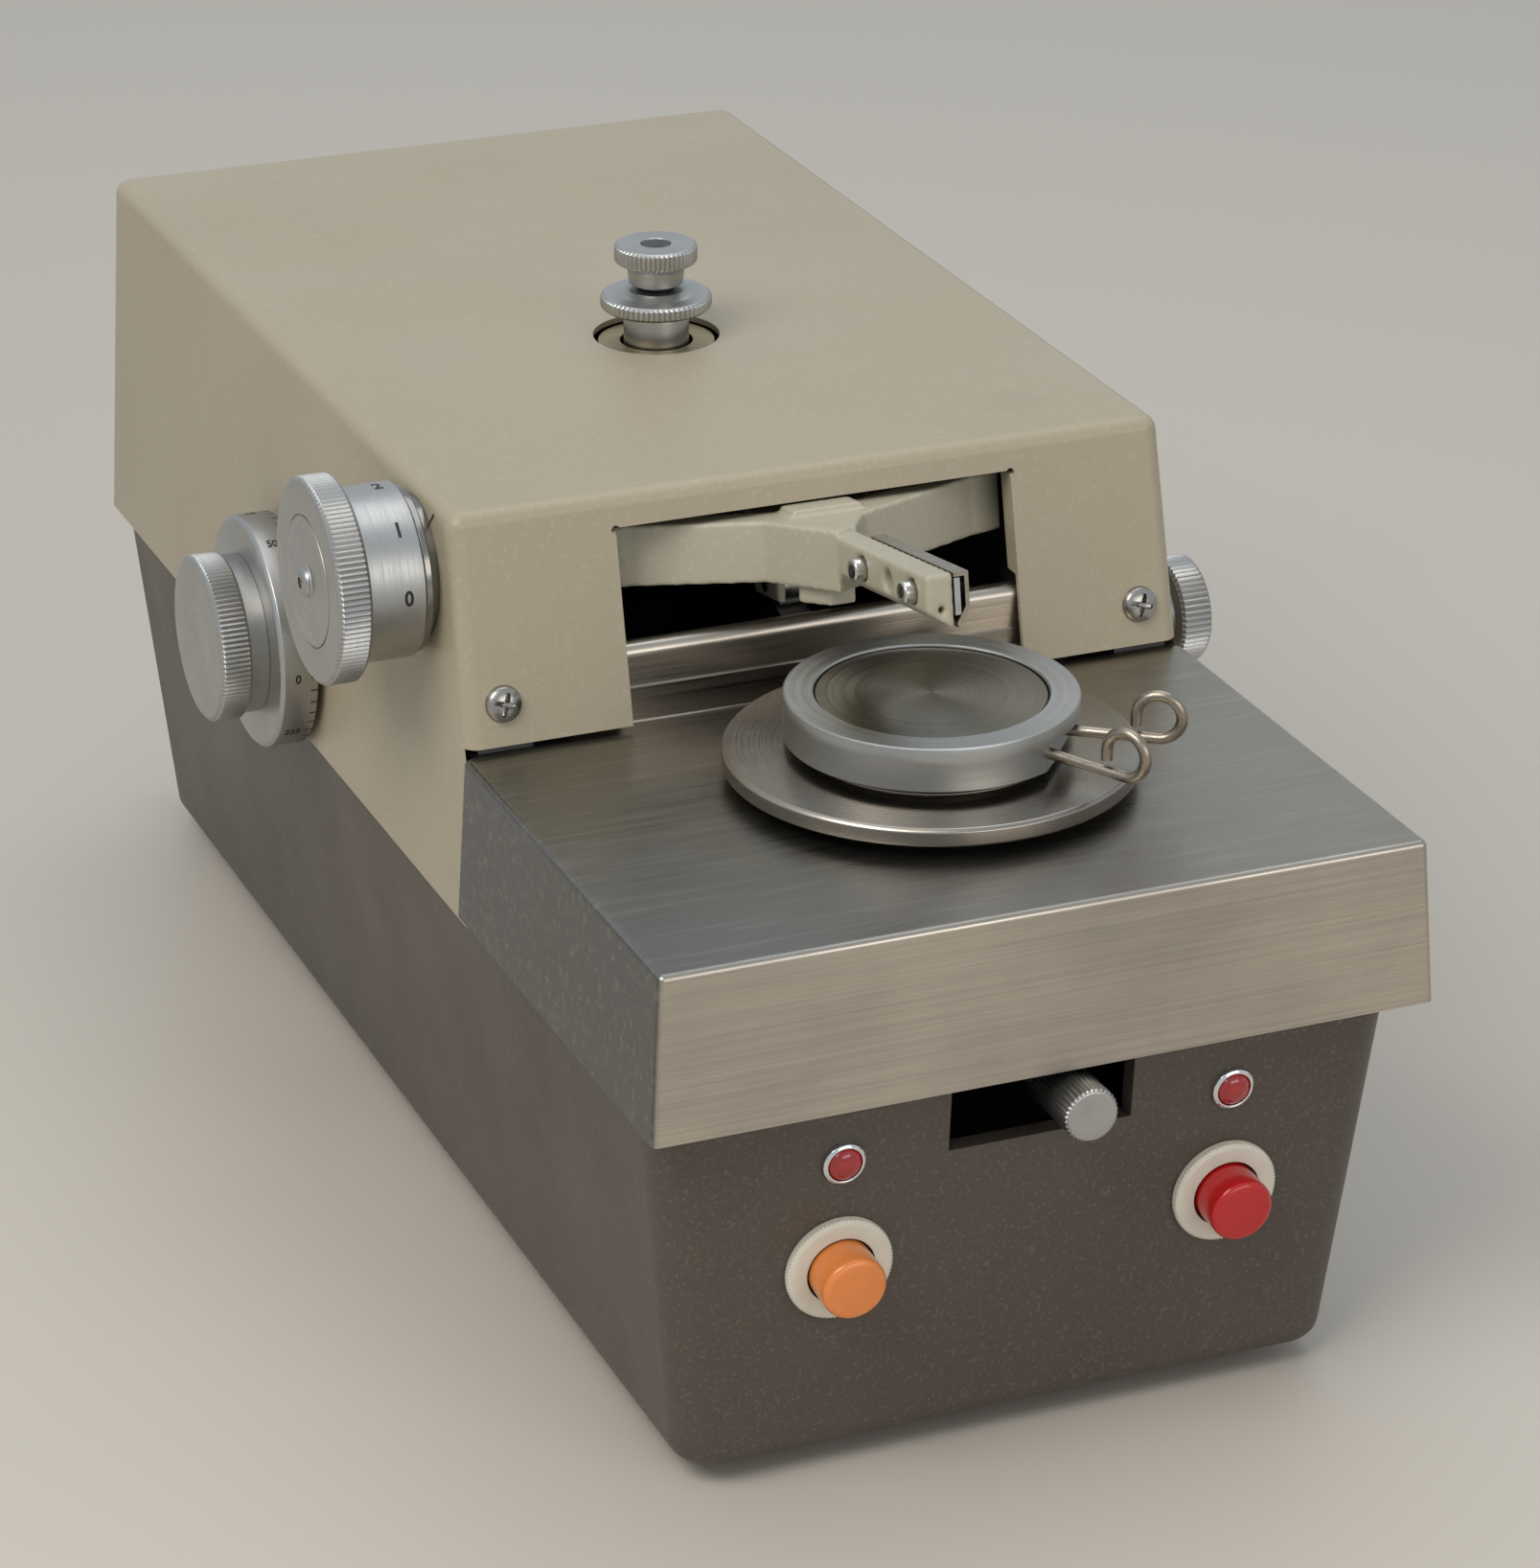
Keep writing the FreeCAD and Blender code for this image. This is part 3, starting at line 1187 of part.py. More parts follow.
def make_table():
    radius = D.plate_radius
    low = DECK_TOP + D.plate_lift
    edge = 0.7
    bore = D.ring_bore - D.free_gap
    hub = bore + 3
    disc_low = RING_TOP - D.disc_recess - D.disc_thickness
    plate = turned("table_plate_body", "z", [
        (D.rod_level - 4, 0), (D.rod_level - 4, D.spindle_radius), (low, D.spindle_radius), (low, radius - edge),
        (low + edge, radius), (PLATE_TOP - edge, radius), (PLATE_TOP, radius - edge), (PLATE_TOP, hub),
        (RING_BOTTOM, hub), (RING_BOTTOM, bore), (disc_low, bore), (disc_low, 0)])
    piece("table_plate", plate, x=D.table_x, y=TABLE_Y)
    disc = turned("specimen_disc_body", "z", [
        (disc_low, 0), (disc_low, bore), (RING_TOP - D.disc_recess, bore), (RING_TOP - D.disc_recess, 0)])
    piece("specimen_disc", disc, x=D.table_x, y=TABLE_Y)
    outer = D.ring_radius
    edge = 0.5
    ring = turned("specimen_ring_body", "z", [
        (RING_BOTTOM, D.ring_bore), (RING_BOTTOM, outer - edge), (RING_BOTTOM + edge, outer), (RING_TOP - edge, outer),
        (RING_TOP, outer - edge), (RING_TOP, D.ring_bore)])
    flat = box("ring_flat_tool", (D.ring_flat, D.ring_flat + 10), both_sides(20),
               (RING_BOTTOM - 1, RING_TOP - D.ring_cap))
    flat_turned = group("ring_flat_turned", flat)
    flat_turned.Placement = Placement(Vector(), Rotation(Vector(0, 0, 1), SIZES["ring_flat_angle"]))
    bind(flat_turned, ".Placement.Rotation.Angle", D.ring_flat_angle)
    tools = [flat_turned]
    for tag, angle in (("front", D.pin_front_angle), ("rear", D.pin_rear_angle)):
        hole = rod(f"pin_hole_{tag}", "x", D.wire_radius + D.free_gap, (PIN_ROOT - 0.5, D.ring_radius + 5), 0, 0)
        turned_hole = group(f"pin_hole_{tag}_turned", hole)
        put_pin(turned_hole, tag, angle)
        tools.append(turned_hole)
    piece("specimen_ring", cut("specimen_ring_cut", ring, *tools), x=D.table_x, y=TABLE_Y)


def put_pin(item, tag, angle):
    """Turn a piece drawn along +X to an eye pin's bearing, about the ring's axis."""
    item.Placement = Placement(Vector(0, 0, SIZES["pin_level"]), Rotation(Vector(0, 0, 1), float(angle)))
    bind(item, ".Placement.Base.z", D.pin_level)
    bind(item, ".Placement.Rotation.Angle", angle)
    return item


def make_eye_pins():
    for tag, angle, reach in (("front", "pin_front_angle", "pin_front_reach"),
                              ("rear", "pin_rear_angle", "pin_rear_reach")):
        wire = SIZES["wire_radius"]
        loop = SIZES["loop_radius"]
        start = PIN_ROOT
        end = SIZES["ring_flat"] + SIZES[reach] - loop
        sweep = math.radians(270)

        def on_loop(share):
            turn = -math.pi / 2 + sweep * share
            return Vector(end + loop * math.cos(turn), 0, loop + loop * math.sin(turn))

        path = Part.Wire([
            Part.makeLine(Vector(start, 0, 0), Vector(end, 0, 0)),
            Part.Arc(on_loop(0), on_loop(0.5), on_loop(1)).toShape(),
            Part.makeLine(on_loop(1), Vector(end - loop, 0, 2 * wire + SIZES["seat_gap"])),
        ])
        section = Part.Wire(Part.makeCircle(wire, Vector(start, 0, 0), X_AXIS))
        solid = path.makePipeShell([section], True, True)
        solid = Part.Solid(solid) if solid.ShapeType == "Shell" else solid
        pin = doc.addObject("Part::Feature", f"eye_pin_{tag}_wire")
        pin.Shape = solid
        turn = Rotation(Vector(0, 0, 1), SIZES[angle])
        pin.Placement = Placement(Vector(float(MID + D.table_x), float(TABLE_Y), SIZES["pin_level"]), turn)
        bind(pin, ".Placement.Base.x", MID + D.table_x)
        bind(pin, ".Placement.Base.y", TABLE_Y)
        bind(pin, ".Placement.Base.z", D.pin_level)
        pin.Label = f"eye_pin_{tag}"
        PIECES.append(pin)


def make_release():
    face = FRONT - D.release_reach
    length = D.release_length
    stem_end = TABLE_Y - D.rod_half_pitch - face
    radius = D.release_radius
    edge = 1.0
    knob = turned("release_knob_body", "y", [
        (0, 0), (0, radius - edge), (edge, radius), (length - edge, radius), (length, radius - edge),
        (length, RELEASE_STEM), (stem_end, RELEASE_STEM), (stem_end, 0)])
    piece("release_knob", knob, x=D.release_x, y=face, z=D.release_level)


# Feed train: ratchet wheel and pawl lever on the lead screw, pushed by a bar from the eccentric

def make_feed_train():
    left = -D.rail_half - D.rail_thickness
    wheel_x = (left - 6, left - 1)
    teeth = 24
    outer = 12.5
    root = 11.0
    points = []
    for i in range(teeth):
        base_angle = 2 * math.pi * i / teeth
        tip_angle = base_angle + 2 * math.pi / teeth * 0.08
        points.append(Vector(0, root * math.cos(base_angle), root * math.sin(base_angle)))
        points.append(Vector(0, outer * math.cos(tip_angle), outer * math.sin(tip_angle)))
    points.append(points[0])
    thick = float(wheel_x[1] - wheel_x[0])
    wheel = Part.Face(Part.makePolygon(points)).extrude(Vector(thick, 0, 0))
    bore = Part.makeCylinder(SIZES["screw_radius"] + PRESS_GAP, thick + 2, Vector(-1, 0, 0), X_AXIS)
    ratchet = doc.addObject("Part::Feature", "ratchet_solid")
    ratchet.Shape = wheel.cut(bore)
    piece("ratchet_wheel", ratchet, x=wheel_x[0], y=TABLE_Y, z=D.screw_level)
    lever_x = FEED_BAR_X
    disc = rod("lever_disc", "x", 8.0, lever_x, TABLE_Y, D.screw_level)
    arm = box("lever_arm", lever_x, (TABLE_Y - LEVER_HALF, TABLE_Y + LEVER_HALF),
              (D.screw_level, FEED_BAR_LEVEL + FEED_BAR_HALF))
    bore = rod("lever_bore", "x", D.screw_radius + D.running_fit, (lever_x[0] - 1, lever_x[1] + 1),
               TABLE_Y, D.screw_level)
    clear = 0.5
    nib = box("pawl_nib", (lever_x[0], wheel_x[1]), (TABLE_Y - 3, TABLE_Y + 3),
              (D.screw_level + outer + clear, D.screw_level + outer + clear + 4))
    piece("feed_lever", cut("feed_lever_cut", fuse("feed_lever_solid", disc, arm, nib), bore))
    front_nose = TABLE_Y + LEVER_HALF + D.free_gap + FEED_NOSE
    rear_nose = CAM_Y - FEED_CAM_RADIUS - D.feed_stroke - D.free_gap
    bar = box("feed_bar_middle", FEED_BAR_X, (front_nose + FEED_NOSE, rear_nose - FEED_NOSE),
              (FEED_BAR_LEVEL - FEED_BAR_HALF, FEED_BAR_LEVEL + FEED_BAR_HALF))
    ends = [rod(f"feed_bar_nose_{tag}", "x", FEED_NOSE, FEED_BAR_X, y, FEED_BAR_LEVEL)
            for tag, y in (("front", front_nose), ("rear", rear_nose))]
    necks = [box("feed_bar_neck", FEED_BAR_X, (front_nose, rear_nose),
                 (FEED_BAR_LEVEL - FEED_NOSE, FEED_BAR_LEVEL + FEED_NOSE))]
    piece("feed_bar", fuse("feed_bar_solid", bar, *ends, *necks))


# Dials on the left

def make_feed_dial():
    y = FRONT + D.feed_back
    level = D.feed_level
    face = -D.feed_reach
    cap_in = face + D.feed_cap_width + D.feed_collar_width
    drum_in = cap_in + D.feed_drum_width
    bore = D.shaft_radius + PRESS_GAP
    knob_depth = 5.0
    cap = turned("feed_cap_body", "x", [
        (0, 0), (0, D.feed_cap_radius - 1), (1, D.feed_cap_radius), (D.feed_cap_width, D.feed_cap_radius),
        (D.feed_cap_width, D.feed_cap_radius - 0.9), (D.feed_cap_width + D.feed_collar_width, D.feed_cap_radius - 0.9),
        (D.feed_cap_width + D.feed_collar_width, bore), (knob_depth, bore), (knob_depth, 0)])
    piece("feed_knob", cap, x=face, y=y, z=level)
    shaft = D.shaft_radius
    stop_start = D.free_gap - D.frame_inner - cap_in
    stop = 12.0
    drum = turned("feed_drum_body", "x", [
        (knob_depth - D.feed_cap_width - D.feed_collar_width, 0),
        (knob_depth - D.feed_cap_width - D.feed_collar_width, shaft), (0, shaft),
        (0, D.feed_drum_radius - 0.8), (0.8, D.feed_drum_radius),
        (D.feed_drum_width, D.feed_drum_radius), (D.feed_drum_width, shaft), (stop_start, shaft),
        (stop_start, stop), (stop_start + 6, stop), (stop_start + 6, 0)])
    piece("feed_drum", drum, x=cap_in, y=y, z=level)
    side = hood_half(level - D.feed_flange_radius)
    flange_out = -side - D.seat_gap
    flange_end = drum_in + D.free_gap
    inner = FEED_SPIGOT
    sleeve_bore = D.shaft_radius + D.running_fit
    start = flange_end
    shoulder = -FRAME_OUTER - start
    housing = turned("feed_housing_body", "x", [
        (0, sleeve_bore), (0, D.feed_flange_radius), (flange_out - start, D.feed_flange_radius),
        (flange_out - start, FEED_SLEEVE), (shoulder, FEED_SLEEVE), (shoulder, inner),
        (shoulder + D.frame_sheet, inner), (shoulder + D.frame_sheet, sleeve_bore)])
    piece("feed_bearing", housing, x=start, y=y, z=level)


def make_rate_dial():
    y = FRONT + D.rate_back
    level = D.rate_level
    face = -D.rate_reach
    rim = D.rate_rim_width
    drum = D.rate_drum_width
    inset = D.rate_inset_radius
    bore = RATE_SHAFT + PRESS_GAP
    groove = 0.5
    raised = 0.6
    bore_screw = RATE_SHAFT - 0.4
    knob = turned("rate_knob_body", "x", [
        (-raised, bore_screw), (-raised, inset - 2 * groove), (0, inset - groove), (1.0, inset - groove),
        (1.0, inset), (0, inset + groove), (0, D.rate_rim_radius - 1), (1, D.rate_rim_radius),
        (rim, D.rate_rim_radius), (rim, D.rate_drum_radius), (rim + drum, D.rate_drum_radius),
        (rim + drum, D.rate_drum_radius - 2), (rim + 1, D.rate_drum_radius - 2), (rim + 1, bore),
        (raised + 1, bore), (raised + 1, bore_screw)])
    piece("rate_knob", knob, x=face, y=y, z=level)
    head = D.rate_screw_stand
    socket = 1.3
    shank = bore_screw - D.seat_gap
    screw = turned("rate_screw_body", "x", [
        (-head, socket), (-head, 3.4), (0.6 - head, 3.9), (-raised, 3.9), (-raised, shank),
        (raised + 0.9, shank), (raised + 0.9, 0), (0, 0), (0, socket)])
    piece("rate_screw", screw, x=face, y=y, z=level)
    control_x = -FRAME_OUTER - 6
    shaft = rod("rate_shaft_rod", "x", RATE_SHAFT, (face + 1.6, control_x), y, level)
    piece("rate_shaft", group("rate_shaft_one", shaft))
    side = hood_half(level - D.rate_ring_radius)
    ring_in = -side - D.seat_gap
    ring_out = face + rim + drum + D.free_gap
    ring = turned("rate_ring_body", "x", [
        (0, RATE_SHAFT + D.running_fit), (0, D.rate_ring_radius), (ring_in - ring_out, D.rate_ring_radius),
        (ring_in - ring_out, RATE_BUSH), (ring_in - ring_out + 6, RATE_BUSH),
        (ring_in - ring_out + 6, RATE_SHAFT + D.running_fit)])
    piece("rate_ring", ring, x=ring_out, y=y, z=level)
    body_out = ring_in + 6
    length = control_x - body_out + 3
    control = turned("rate_control_body", "x", [
        (0, RATE_SHAFT + D.running_fit), (0, 17.0), (length, 17.0), (length, 0), (length - 2.5, 0),
        (length - 2.5, RATE_SHAFT + D.running_fit)])
    piece("rate_control", control, x=body_out, y=y, z=level)


# Force knob, lock knob and their stem on top

def make_force_knobs():
    stem_low = D.frame_level - 10
    lock_top = D.lock_knob_level + D.lock_knob_height
    plug = 3.7
    stem = turned("force_stem_body", "z", [
        (stem_low - D.stem_flange, 0), (stem_low - D.stem_flange, D.stem_radius + 4), (stem_low, D.stem_radius + 4),
        (stem_low, D.stem_radius), (lock_top - 1, D.stem_radius), (lock_top - 1, plug), (lock_top - 0.2, plug),
        (lock_top - 0.2, 0)])
    piece("force_stem", stem, y=FORCE_Y)
    bush_low = D.frame_level
    neck = FORCE_BUSH_NECK
    bore = D.stem_radius + D.running_fit
    plate_top = bush_low + D.bridge_sheet
    bush = turned("force_bush_body", "z", [
        (bush_low - 3, bore), (bush_low - 3, neck), (plate_top, neck), (plate_top, D.force_hole_radius - 1.4),
        (HOOD_TOP - 1.5, D.force_hole_radius - 1.4), (HOOD_TOP - 1.5, 9.5), (plate_top + 2, 9.5), (plate_top + 2, bore)])
    piece("force_bush", bush, y=FORCE_Y)
    knob_low = plate_top + 2 + D.free_gap
    disc_low = D.force_knob_level
    disc_top = disc_low + D.force_knob_height
    radius = D.force_knob_radius
    boss = 7.5
    knob = turned("force_knob_body", "z", [
        (knob_low, bore), (knob_low, 8.45), (disc_low, 8.45), (disc_low, radius - 0.6), (disc_low + 0.6, radius),
        (disc_top - 0.6, radius), (disc_top, radius - 0.6), (disc_top + 1.6, boss), (disc_top + 1.6, bore)])
    piece("force_knob", knob, y=FORCE_Y)
    washer_low = disc_top + 1.6 + D.free_gap
    washer_top = washer_low + 1.0
    piece("force_washer", tube("force_washer_ring", "z", 5.0, bore, (washer_low, washer_top), 0, FORCE_Y))
    disc = D.lock_knob_level
    neck_low = washer_top
    radius = D.lock_knob_radius
    lock = turned("lock_knob_body", "z", [
        (neck_low, bore), (neck_low, 7.4), (disc - 1.2, 7.4), (disc, radius - 0.6), (disc + 0.6, radius),
        (lock_top - 0.6, radius), (lock_top, radius - 0.6), (lock_top, plug + D.seat_gap),
        (lock_top - 1.0, plug + D.seat_gap), (lock_top - 1.0, bore)])
    piece("lock_knob", lock, y=FORCE_Y)
    make_force_spring(stem_low)


# The spring wire is drawn with this many flats
SPRING_SIDES = 8


def make_force_spring(stem_low):
    """Coil that pulls the arm's tail up towards the stem."""
    lift = math.radians(SIZES["lift_angle"])
    tail_y = SIZES["force_back"] - SIZES["pivot_back"]
    coil = SIZES["spring_radius"]
    wire = SIZES["spring_wire"]
    seat = SIZES["pivot_level"] + SIZES["arm_shelf_top"] * math.cos(lift)
    seat -= (tail_y - coil - wire) * math.sin(lift)
    high = float(stem_low) - SIZES["stem_flange"] - SIZES["free_gap"]
    helix = Part.makeHelix(SIZES["spring_pitch"], high - seat - 2 * wire, coil)
    start = Vector(coil, 0, 0)
    turns = [2 * math.pi * i / SPRING_SIDES for i in range(SPRING_SIDES + 1)]
    section = Part.makePolygon([start + Vector(wire * math.cos(turn), 0, wire * math.sin(turn)) for turn in turns])
    spring = Part.Wire(helix).makePipeShell([section], True, True)
    spring = Part.Solid(spring) if spring.ShapeType == "Shell" else spring
    item = doc.addObject("Part::Feature", "force_spring_coil")
    item.Shape = spring
    item.Placement = Placement(Vector(0, 0, 0), Rotation())
    put(item, MID, FORCE_Y, seat + wire)
    item.Label = "force_spring"
    PIECES.append(item)


# Front panel: buttons and pilot lights, set square to the raked front

def on_panel(label, items, drop):
    level = PARTING - drop
    for (side, tag), item in zip(((-1, "left"), (1, "right")), items):
        put(item, panel_x(side), base_front(level), level, pitch=PANEL_TILT)
    return piece(label, group(label + "_set", *items))


def make_panel():
    wall = D.base_wall
    neck = BUTTON_NECK
    stem = 4.0
    bezels = []
    bodies = []
    for tag in ("left", "right"):
        bezels.append(turned(f"bezel_{tag}", "y", [
            (-D.bezel_height, D.cap_radius + 0.5), (-D.bezel_height, D.bezel_radius - 0.8),
            (-D.bezel_height + 0.8, D.bezel_radius), (0, D.bezel_radius), (0, D.cap_radius + 0.5)]))
        bodies.append(turned(f"switch_{tag}", "y", [
            (-D.bezel_height + 0.6, D.cap_radius + 0.3), (-D.bezel_height + 0.6, D.cap_radius + 0.5),
            (0, D.cap_radius + 0.5), (0, neck), (wall + 1, neck), (wall + 1, neck + 3), (wall + 26, neck + 3),
            (wall + 26, 0), (wall + 24, 0), (wall + 24, stem + D.free_gap), (wall + 4, stem + D.free_gap),
            (wall + 4, D.cap_radius + 0.3)]))
    on_panel("button_bezels", bezels, D.button_drop)
    on_panel("switch_bodies", bodies, D.button_drop)
    level = PARTING - D.button_drop
    for side, tag in ((-1, "start"), (1, "stop")):
        crown = D.cap_radius
        out = D.bezel_height + D.cap_height
        cap = turned(f"{tag}_cap", "y", [
            (-out, 0), (-out, crown - 1.4), (-out + 0.5, crown - 0.5), (-out + 1.5, crown), (0, crown),
            (0, stem), (wall + 18, stem), (wall + 18, 0)])
        piece(f"{tag}_button", cap, x=panel_x(side), y=base_front(level), z=level, pitch=PANEL_TILT)
    rings = []
    lenses = []
    for tag in ("left", "right"):
        lens = D.lens_radius
        rings.append(turned(f"pilot_ring_{tag}", "y", [
            (-1.6, lens + D.seat_gap), (-1.6, D.pilot_radius - 0.5), (-0.8, D.pilot_radius), (0, D.pilot_radius),
            (0, PILOT_NECK), (wall + 12, PILOT_NECK), (wall + 12, PILOT_NECK - 0.8), (-0.4, PILOT_NECK - 0.8),
            (-0.4, lens + D.seat_gap)]))
        lenses.append(turned(f"pilot_lens_{tag}", "y", [
            (-2.9, 0), (-2.7, lens * 0.45), (-2.1, lens * 0.8), (-1.2, lens), (-0.5, lens), (-0.5, PILOT_NECK - 0.9),
            (wall + 10, PILOT_NECK - 0.9), (wall + 10, 0)]))
    on_panel("pilot_rings", rings, D.pilot_drop)
    on_panel("pilot_lenses", lenses, D.pilot_drop)


# Rear panel and electrical pieces in the base

def make_gland():
    level = D.gland_level
    outer = D.gland_radius
    bore = 4.0
    wall = base_rear(level)
    length = FRONT + D.gland_reach - wall
    gland = turned("gland_body", "y", [
        (-12, bore), (-12, outer), (0.9, outer), (0.9, outer + 2), (4, outer + 2), (4, outer - 0.4),
        (9, outer - 0.8), (length, outer - 2), (length, bore)])
    piece("cable_gland", gland, x=D.gland_x, y=wall, z=level)


# Sizes of small hidden parts that several pieces share

PRESS_GAP = 0.02
PULLEY_RIM = 0.8
PIVOT_BUSH = D.pivot_radius + 3
CAM_BUSH = D.shaft_radius + 3
FEED_SLEEVE = as_size(13.0)
FEED_SPIGOT = as_size(8.0)
RATE_BUSH = as_size(6.0)
RATE_SHAFT = as_size(3.0)
FORCE_BUSH_NECK = as_size(7.0)
MOTOR_SHAFT = as_size(4.0)
HOOD_SHANK = as_size(2.2)
REAR_SCREW_HALF = as_size(62.0)
REAR_SCREW_LEVEL = PARTING + 9
BUTTON_NECK = as_size(9.6)
PILOT_NECK = as_size(3.8)
ROLLER_PIN = as_size(1.8)
CLAMP_HEAD = as_size(2.75)
CLAMP_SHANK = as_size(1.5)
NOSE_AXIS = D.arm_top - 5.1
RELEASE_STEM = as_size(2.5)
FEED_BAR_WIDTH = 4.0
FEED_BAR_X = (-D.rail_half - D.rail_thickness - 6.3 - FEED_BAR_WIDTH, -D.rail_half - D.rail_thickness - 6.3)
FEED_BAR_LEVEL = DECK_TOP - D.deck_sheet - 5.0
FEED_BAR_HALF = 3.0
FEED_NOSE = as_size(2.0)
FEED_CAM_RADIUS = as_size(9.0)
LEVER_HALF = 4.0
PIN_ROOT = 29.5


def check_and_write():
    """Stop on any failed object or bad shape, then write each sub-part's file."""
    doc.recompute()
    failed = [item.Name for item in doc.Objects if {"Invalid", "Error"} & set(item.State)]
    if failed:
        raise RuntimeError("objects that failed: " + ", ".join(failed))
    for item in PIECES:
        if item.Shape.isNull() or not item.Shape.isValid() or not item.Shape.Solids:
            raise RuntimeError(item.Label + " has no valid solid")
    os.makedirs("parts", exist_ok=True)
    for item in PIECES:
        item.Shape.exportStep(os.path.join("parts", item.Label + ".step"))


make_base()
make_bottom()
make_chassis()
make_deck()
make_hood()
make_hood_fixings()
make_frame()
make_arm()
make_clamp()
make_arm_fittings()
make_cam_shaft()
make_drive()
make_carriage()
make_table()
make_eye_pins()
make_release()
make_feed_train()
make_feed_dial()
make_rate_dial()
make_force_knobs()
make_panel()
make_gland()
check_and_write()
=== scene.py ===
import json
import math

import bmesh
import bpy
from mathutils import Matrix, Vector

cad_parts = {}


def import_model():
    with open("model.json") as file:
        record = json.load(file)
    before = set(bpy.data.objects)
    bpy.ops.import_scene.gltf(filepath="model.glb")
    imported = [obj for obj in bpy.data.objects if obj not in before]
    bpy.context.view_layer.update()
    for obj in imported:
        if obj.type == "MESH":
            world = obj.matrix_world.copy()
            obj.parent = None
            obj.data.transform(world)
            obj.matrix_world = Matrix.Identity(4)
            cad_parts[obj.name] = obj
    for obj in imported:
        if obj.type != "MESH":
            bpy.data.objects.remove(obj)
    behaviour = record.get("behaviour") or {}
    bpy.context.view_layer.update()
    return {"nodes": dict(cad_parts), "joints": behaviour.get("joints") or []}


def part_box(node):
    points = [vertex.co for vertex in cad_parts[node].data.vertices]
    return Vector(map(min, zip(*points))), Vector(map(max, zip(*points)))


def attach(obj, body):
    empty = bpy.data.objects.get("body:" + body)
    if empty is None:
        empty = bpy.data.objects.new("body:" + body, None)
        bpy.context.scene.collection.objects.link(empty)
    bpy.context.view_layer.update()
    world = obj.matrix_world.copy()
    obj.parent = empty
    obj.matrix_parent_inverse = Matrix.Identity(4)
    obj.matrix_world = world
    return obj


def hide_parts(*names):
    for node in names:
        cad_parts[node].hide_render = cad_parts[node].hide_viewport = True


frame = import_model()
NODES = frame["nodes"]
MM = 0.001


# Materials

class Material:
    """A principled material with short helpers for its nodes."""

    def __init__(self, name, color, rough, metal=0.0, **sockets):
        self.data = bpy.data.materials.new(name)
        self.data.use_nodes = True
        self.tree = self.data.node_tree
        self.tree.nodes.clear()
        self.shader = self.node("BsdfPrincipled")
        output = self.node("OutputMaterial")
        self.link(self.shader.outputs[0], output.inputs[0])
        self.set("Base Color", (*color, 1.0))
        self.set("Roughness", rough)
        self.set("Metallic", metal)
        for socket, value in sockets.items():
            self.set(socket.replace("_", " "), value)

    def node(self, kind, **settings):
        item = self.tree.nodes.new("ShaderNode" + kind)
        for key, value in settings.items():
            setattr(item, key, value)
        return item

    def link(self, a, b):
        self.tree.links.new(a, b)

    def set(self, socket, value):
        target = self.shader.inputs[socket]
        if isinstance(value, bpy.types.NodeSocket):
            self.link(value, target)
        else:
            target.default_value = value

    def coords(self, scale=(1, 1, 1)):
        source = self.node("TexCoord").outputs["Object"]
        mapping = self.node("Mapping")
        mapping.inputs["Scale"].default_value = scale
        self.link(source, mapping.inputs["Vector"])
        return mapping.outputs[0]

    def noise(self, scale, vector=None, detail=3.0, rough=0.5):
        item = self.node("TexNoise")
        item.inputs["Scale"].default_value = scale
        item.inputs["Detail"].default_value = detail
        item.inputs["Roughness"].default_value = rough
        self.link(vector or self.coords(), item.inputs["Vector"])
        return item.outputs[0]

    def span(self, value, low, high, to_low=0.0, to_high=1.0):
        item = self.node("MapRange")
        self.link(value, item.inputs["Value"])
        limits = {"From Min": low, "From Max": high, "To Min": to_low, "To Max": to_high}
        for socket, number in limits.items():
            item.inputs[socket].default_value = number
        return item.outputs[0]

    def calc(self, operation, a, b=0.0):
        item = self.node("Math", operation=operation)
        for socket, value in zip(item.inputs, (a, b)):
            if isinstance(value, bpy.types.NodeSocket):
                self.link(value, socket)
            else:
                socket.default_value = value
        return item.outputs[0]

    def mix(self, share, a, b):
        item = self.node("Mix", data_type="RGBA")
        for socket, value in ((item.inputs[0], share), (item.inputs[6], a), (item.inputs[7], b)):
            if isinstance(value, bpy.types.NodeSocket):
                self.link(value, socket)
            elif isinstance(value, tuple):
                socket.default_value = (*value, 1.0)
            else:
                socket.default_value = value
        return item.outputs[2]

    def bump(self, height, strength, distance):
        item = self.node("Bump")
        item.inputs["Strength"].default_value = strength
        item.inputs["Distance"].default_value = distance
        self.link(height, item.inputs["Height"])
        self.set("Normal", item.outputs[0])


def srgb(red, green, blue):
    """An 8-bit display colour as linear values."""
    values = []
    for channel in (red, green, blue):
        share = channel / 255.0
        values.append(share / 12.92 if share <= 0.04045 else ((share + 0.055) / 1.055) ** 2.4)
    return tuple(values)


def painted(name, color, dark, speck, rough, grain, depth, coat=0.0):
    """Satin paint: slow colour drift, fine specks and a fine texture."""
    mat = Material(name, color, rough, Coat_Weight=coat, Coat_Roughness=0.25)
    drift = mat.span(mat.noise(9.0, detail=4.0), 0.35, 0.65)
    specks = mat.span(mat.noise(grain * 0.9, detail=2.0), 0.56, 0.68)
    tone = mat.mix(mat.calc("MULTIPLY", drift, 0.55), color, dark)
    mat.set("Base Color", mat.mix(mat.calc("MULTIPLY", specks, 0.4), tone, speck))
    mat.set("Roughness", mat.span(mat.noise(26.0), 0.3, 0.7, rough - 0.05, rough + 0.07))
    coarse = mat.noise(grain * 0.35, detail=2.0)
    height = mat.calc("ADD", mat.noise(grain, detail=2.0), mat.calc("MULTIPLY", coarse, 0.8))
    mat.bump(height, 0.35, depth)
    return mat


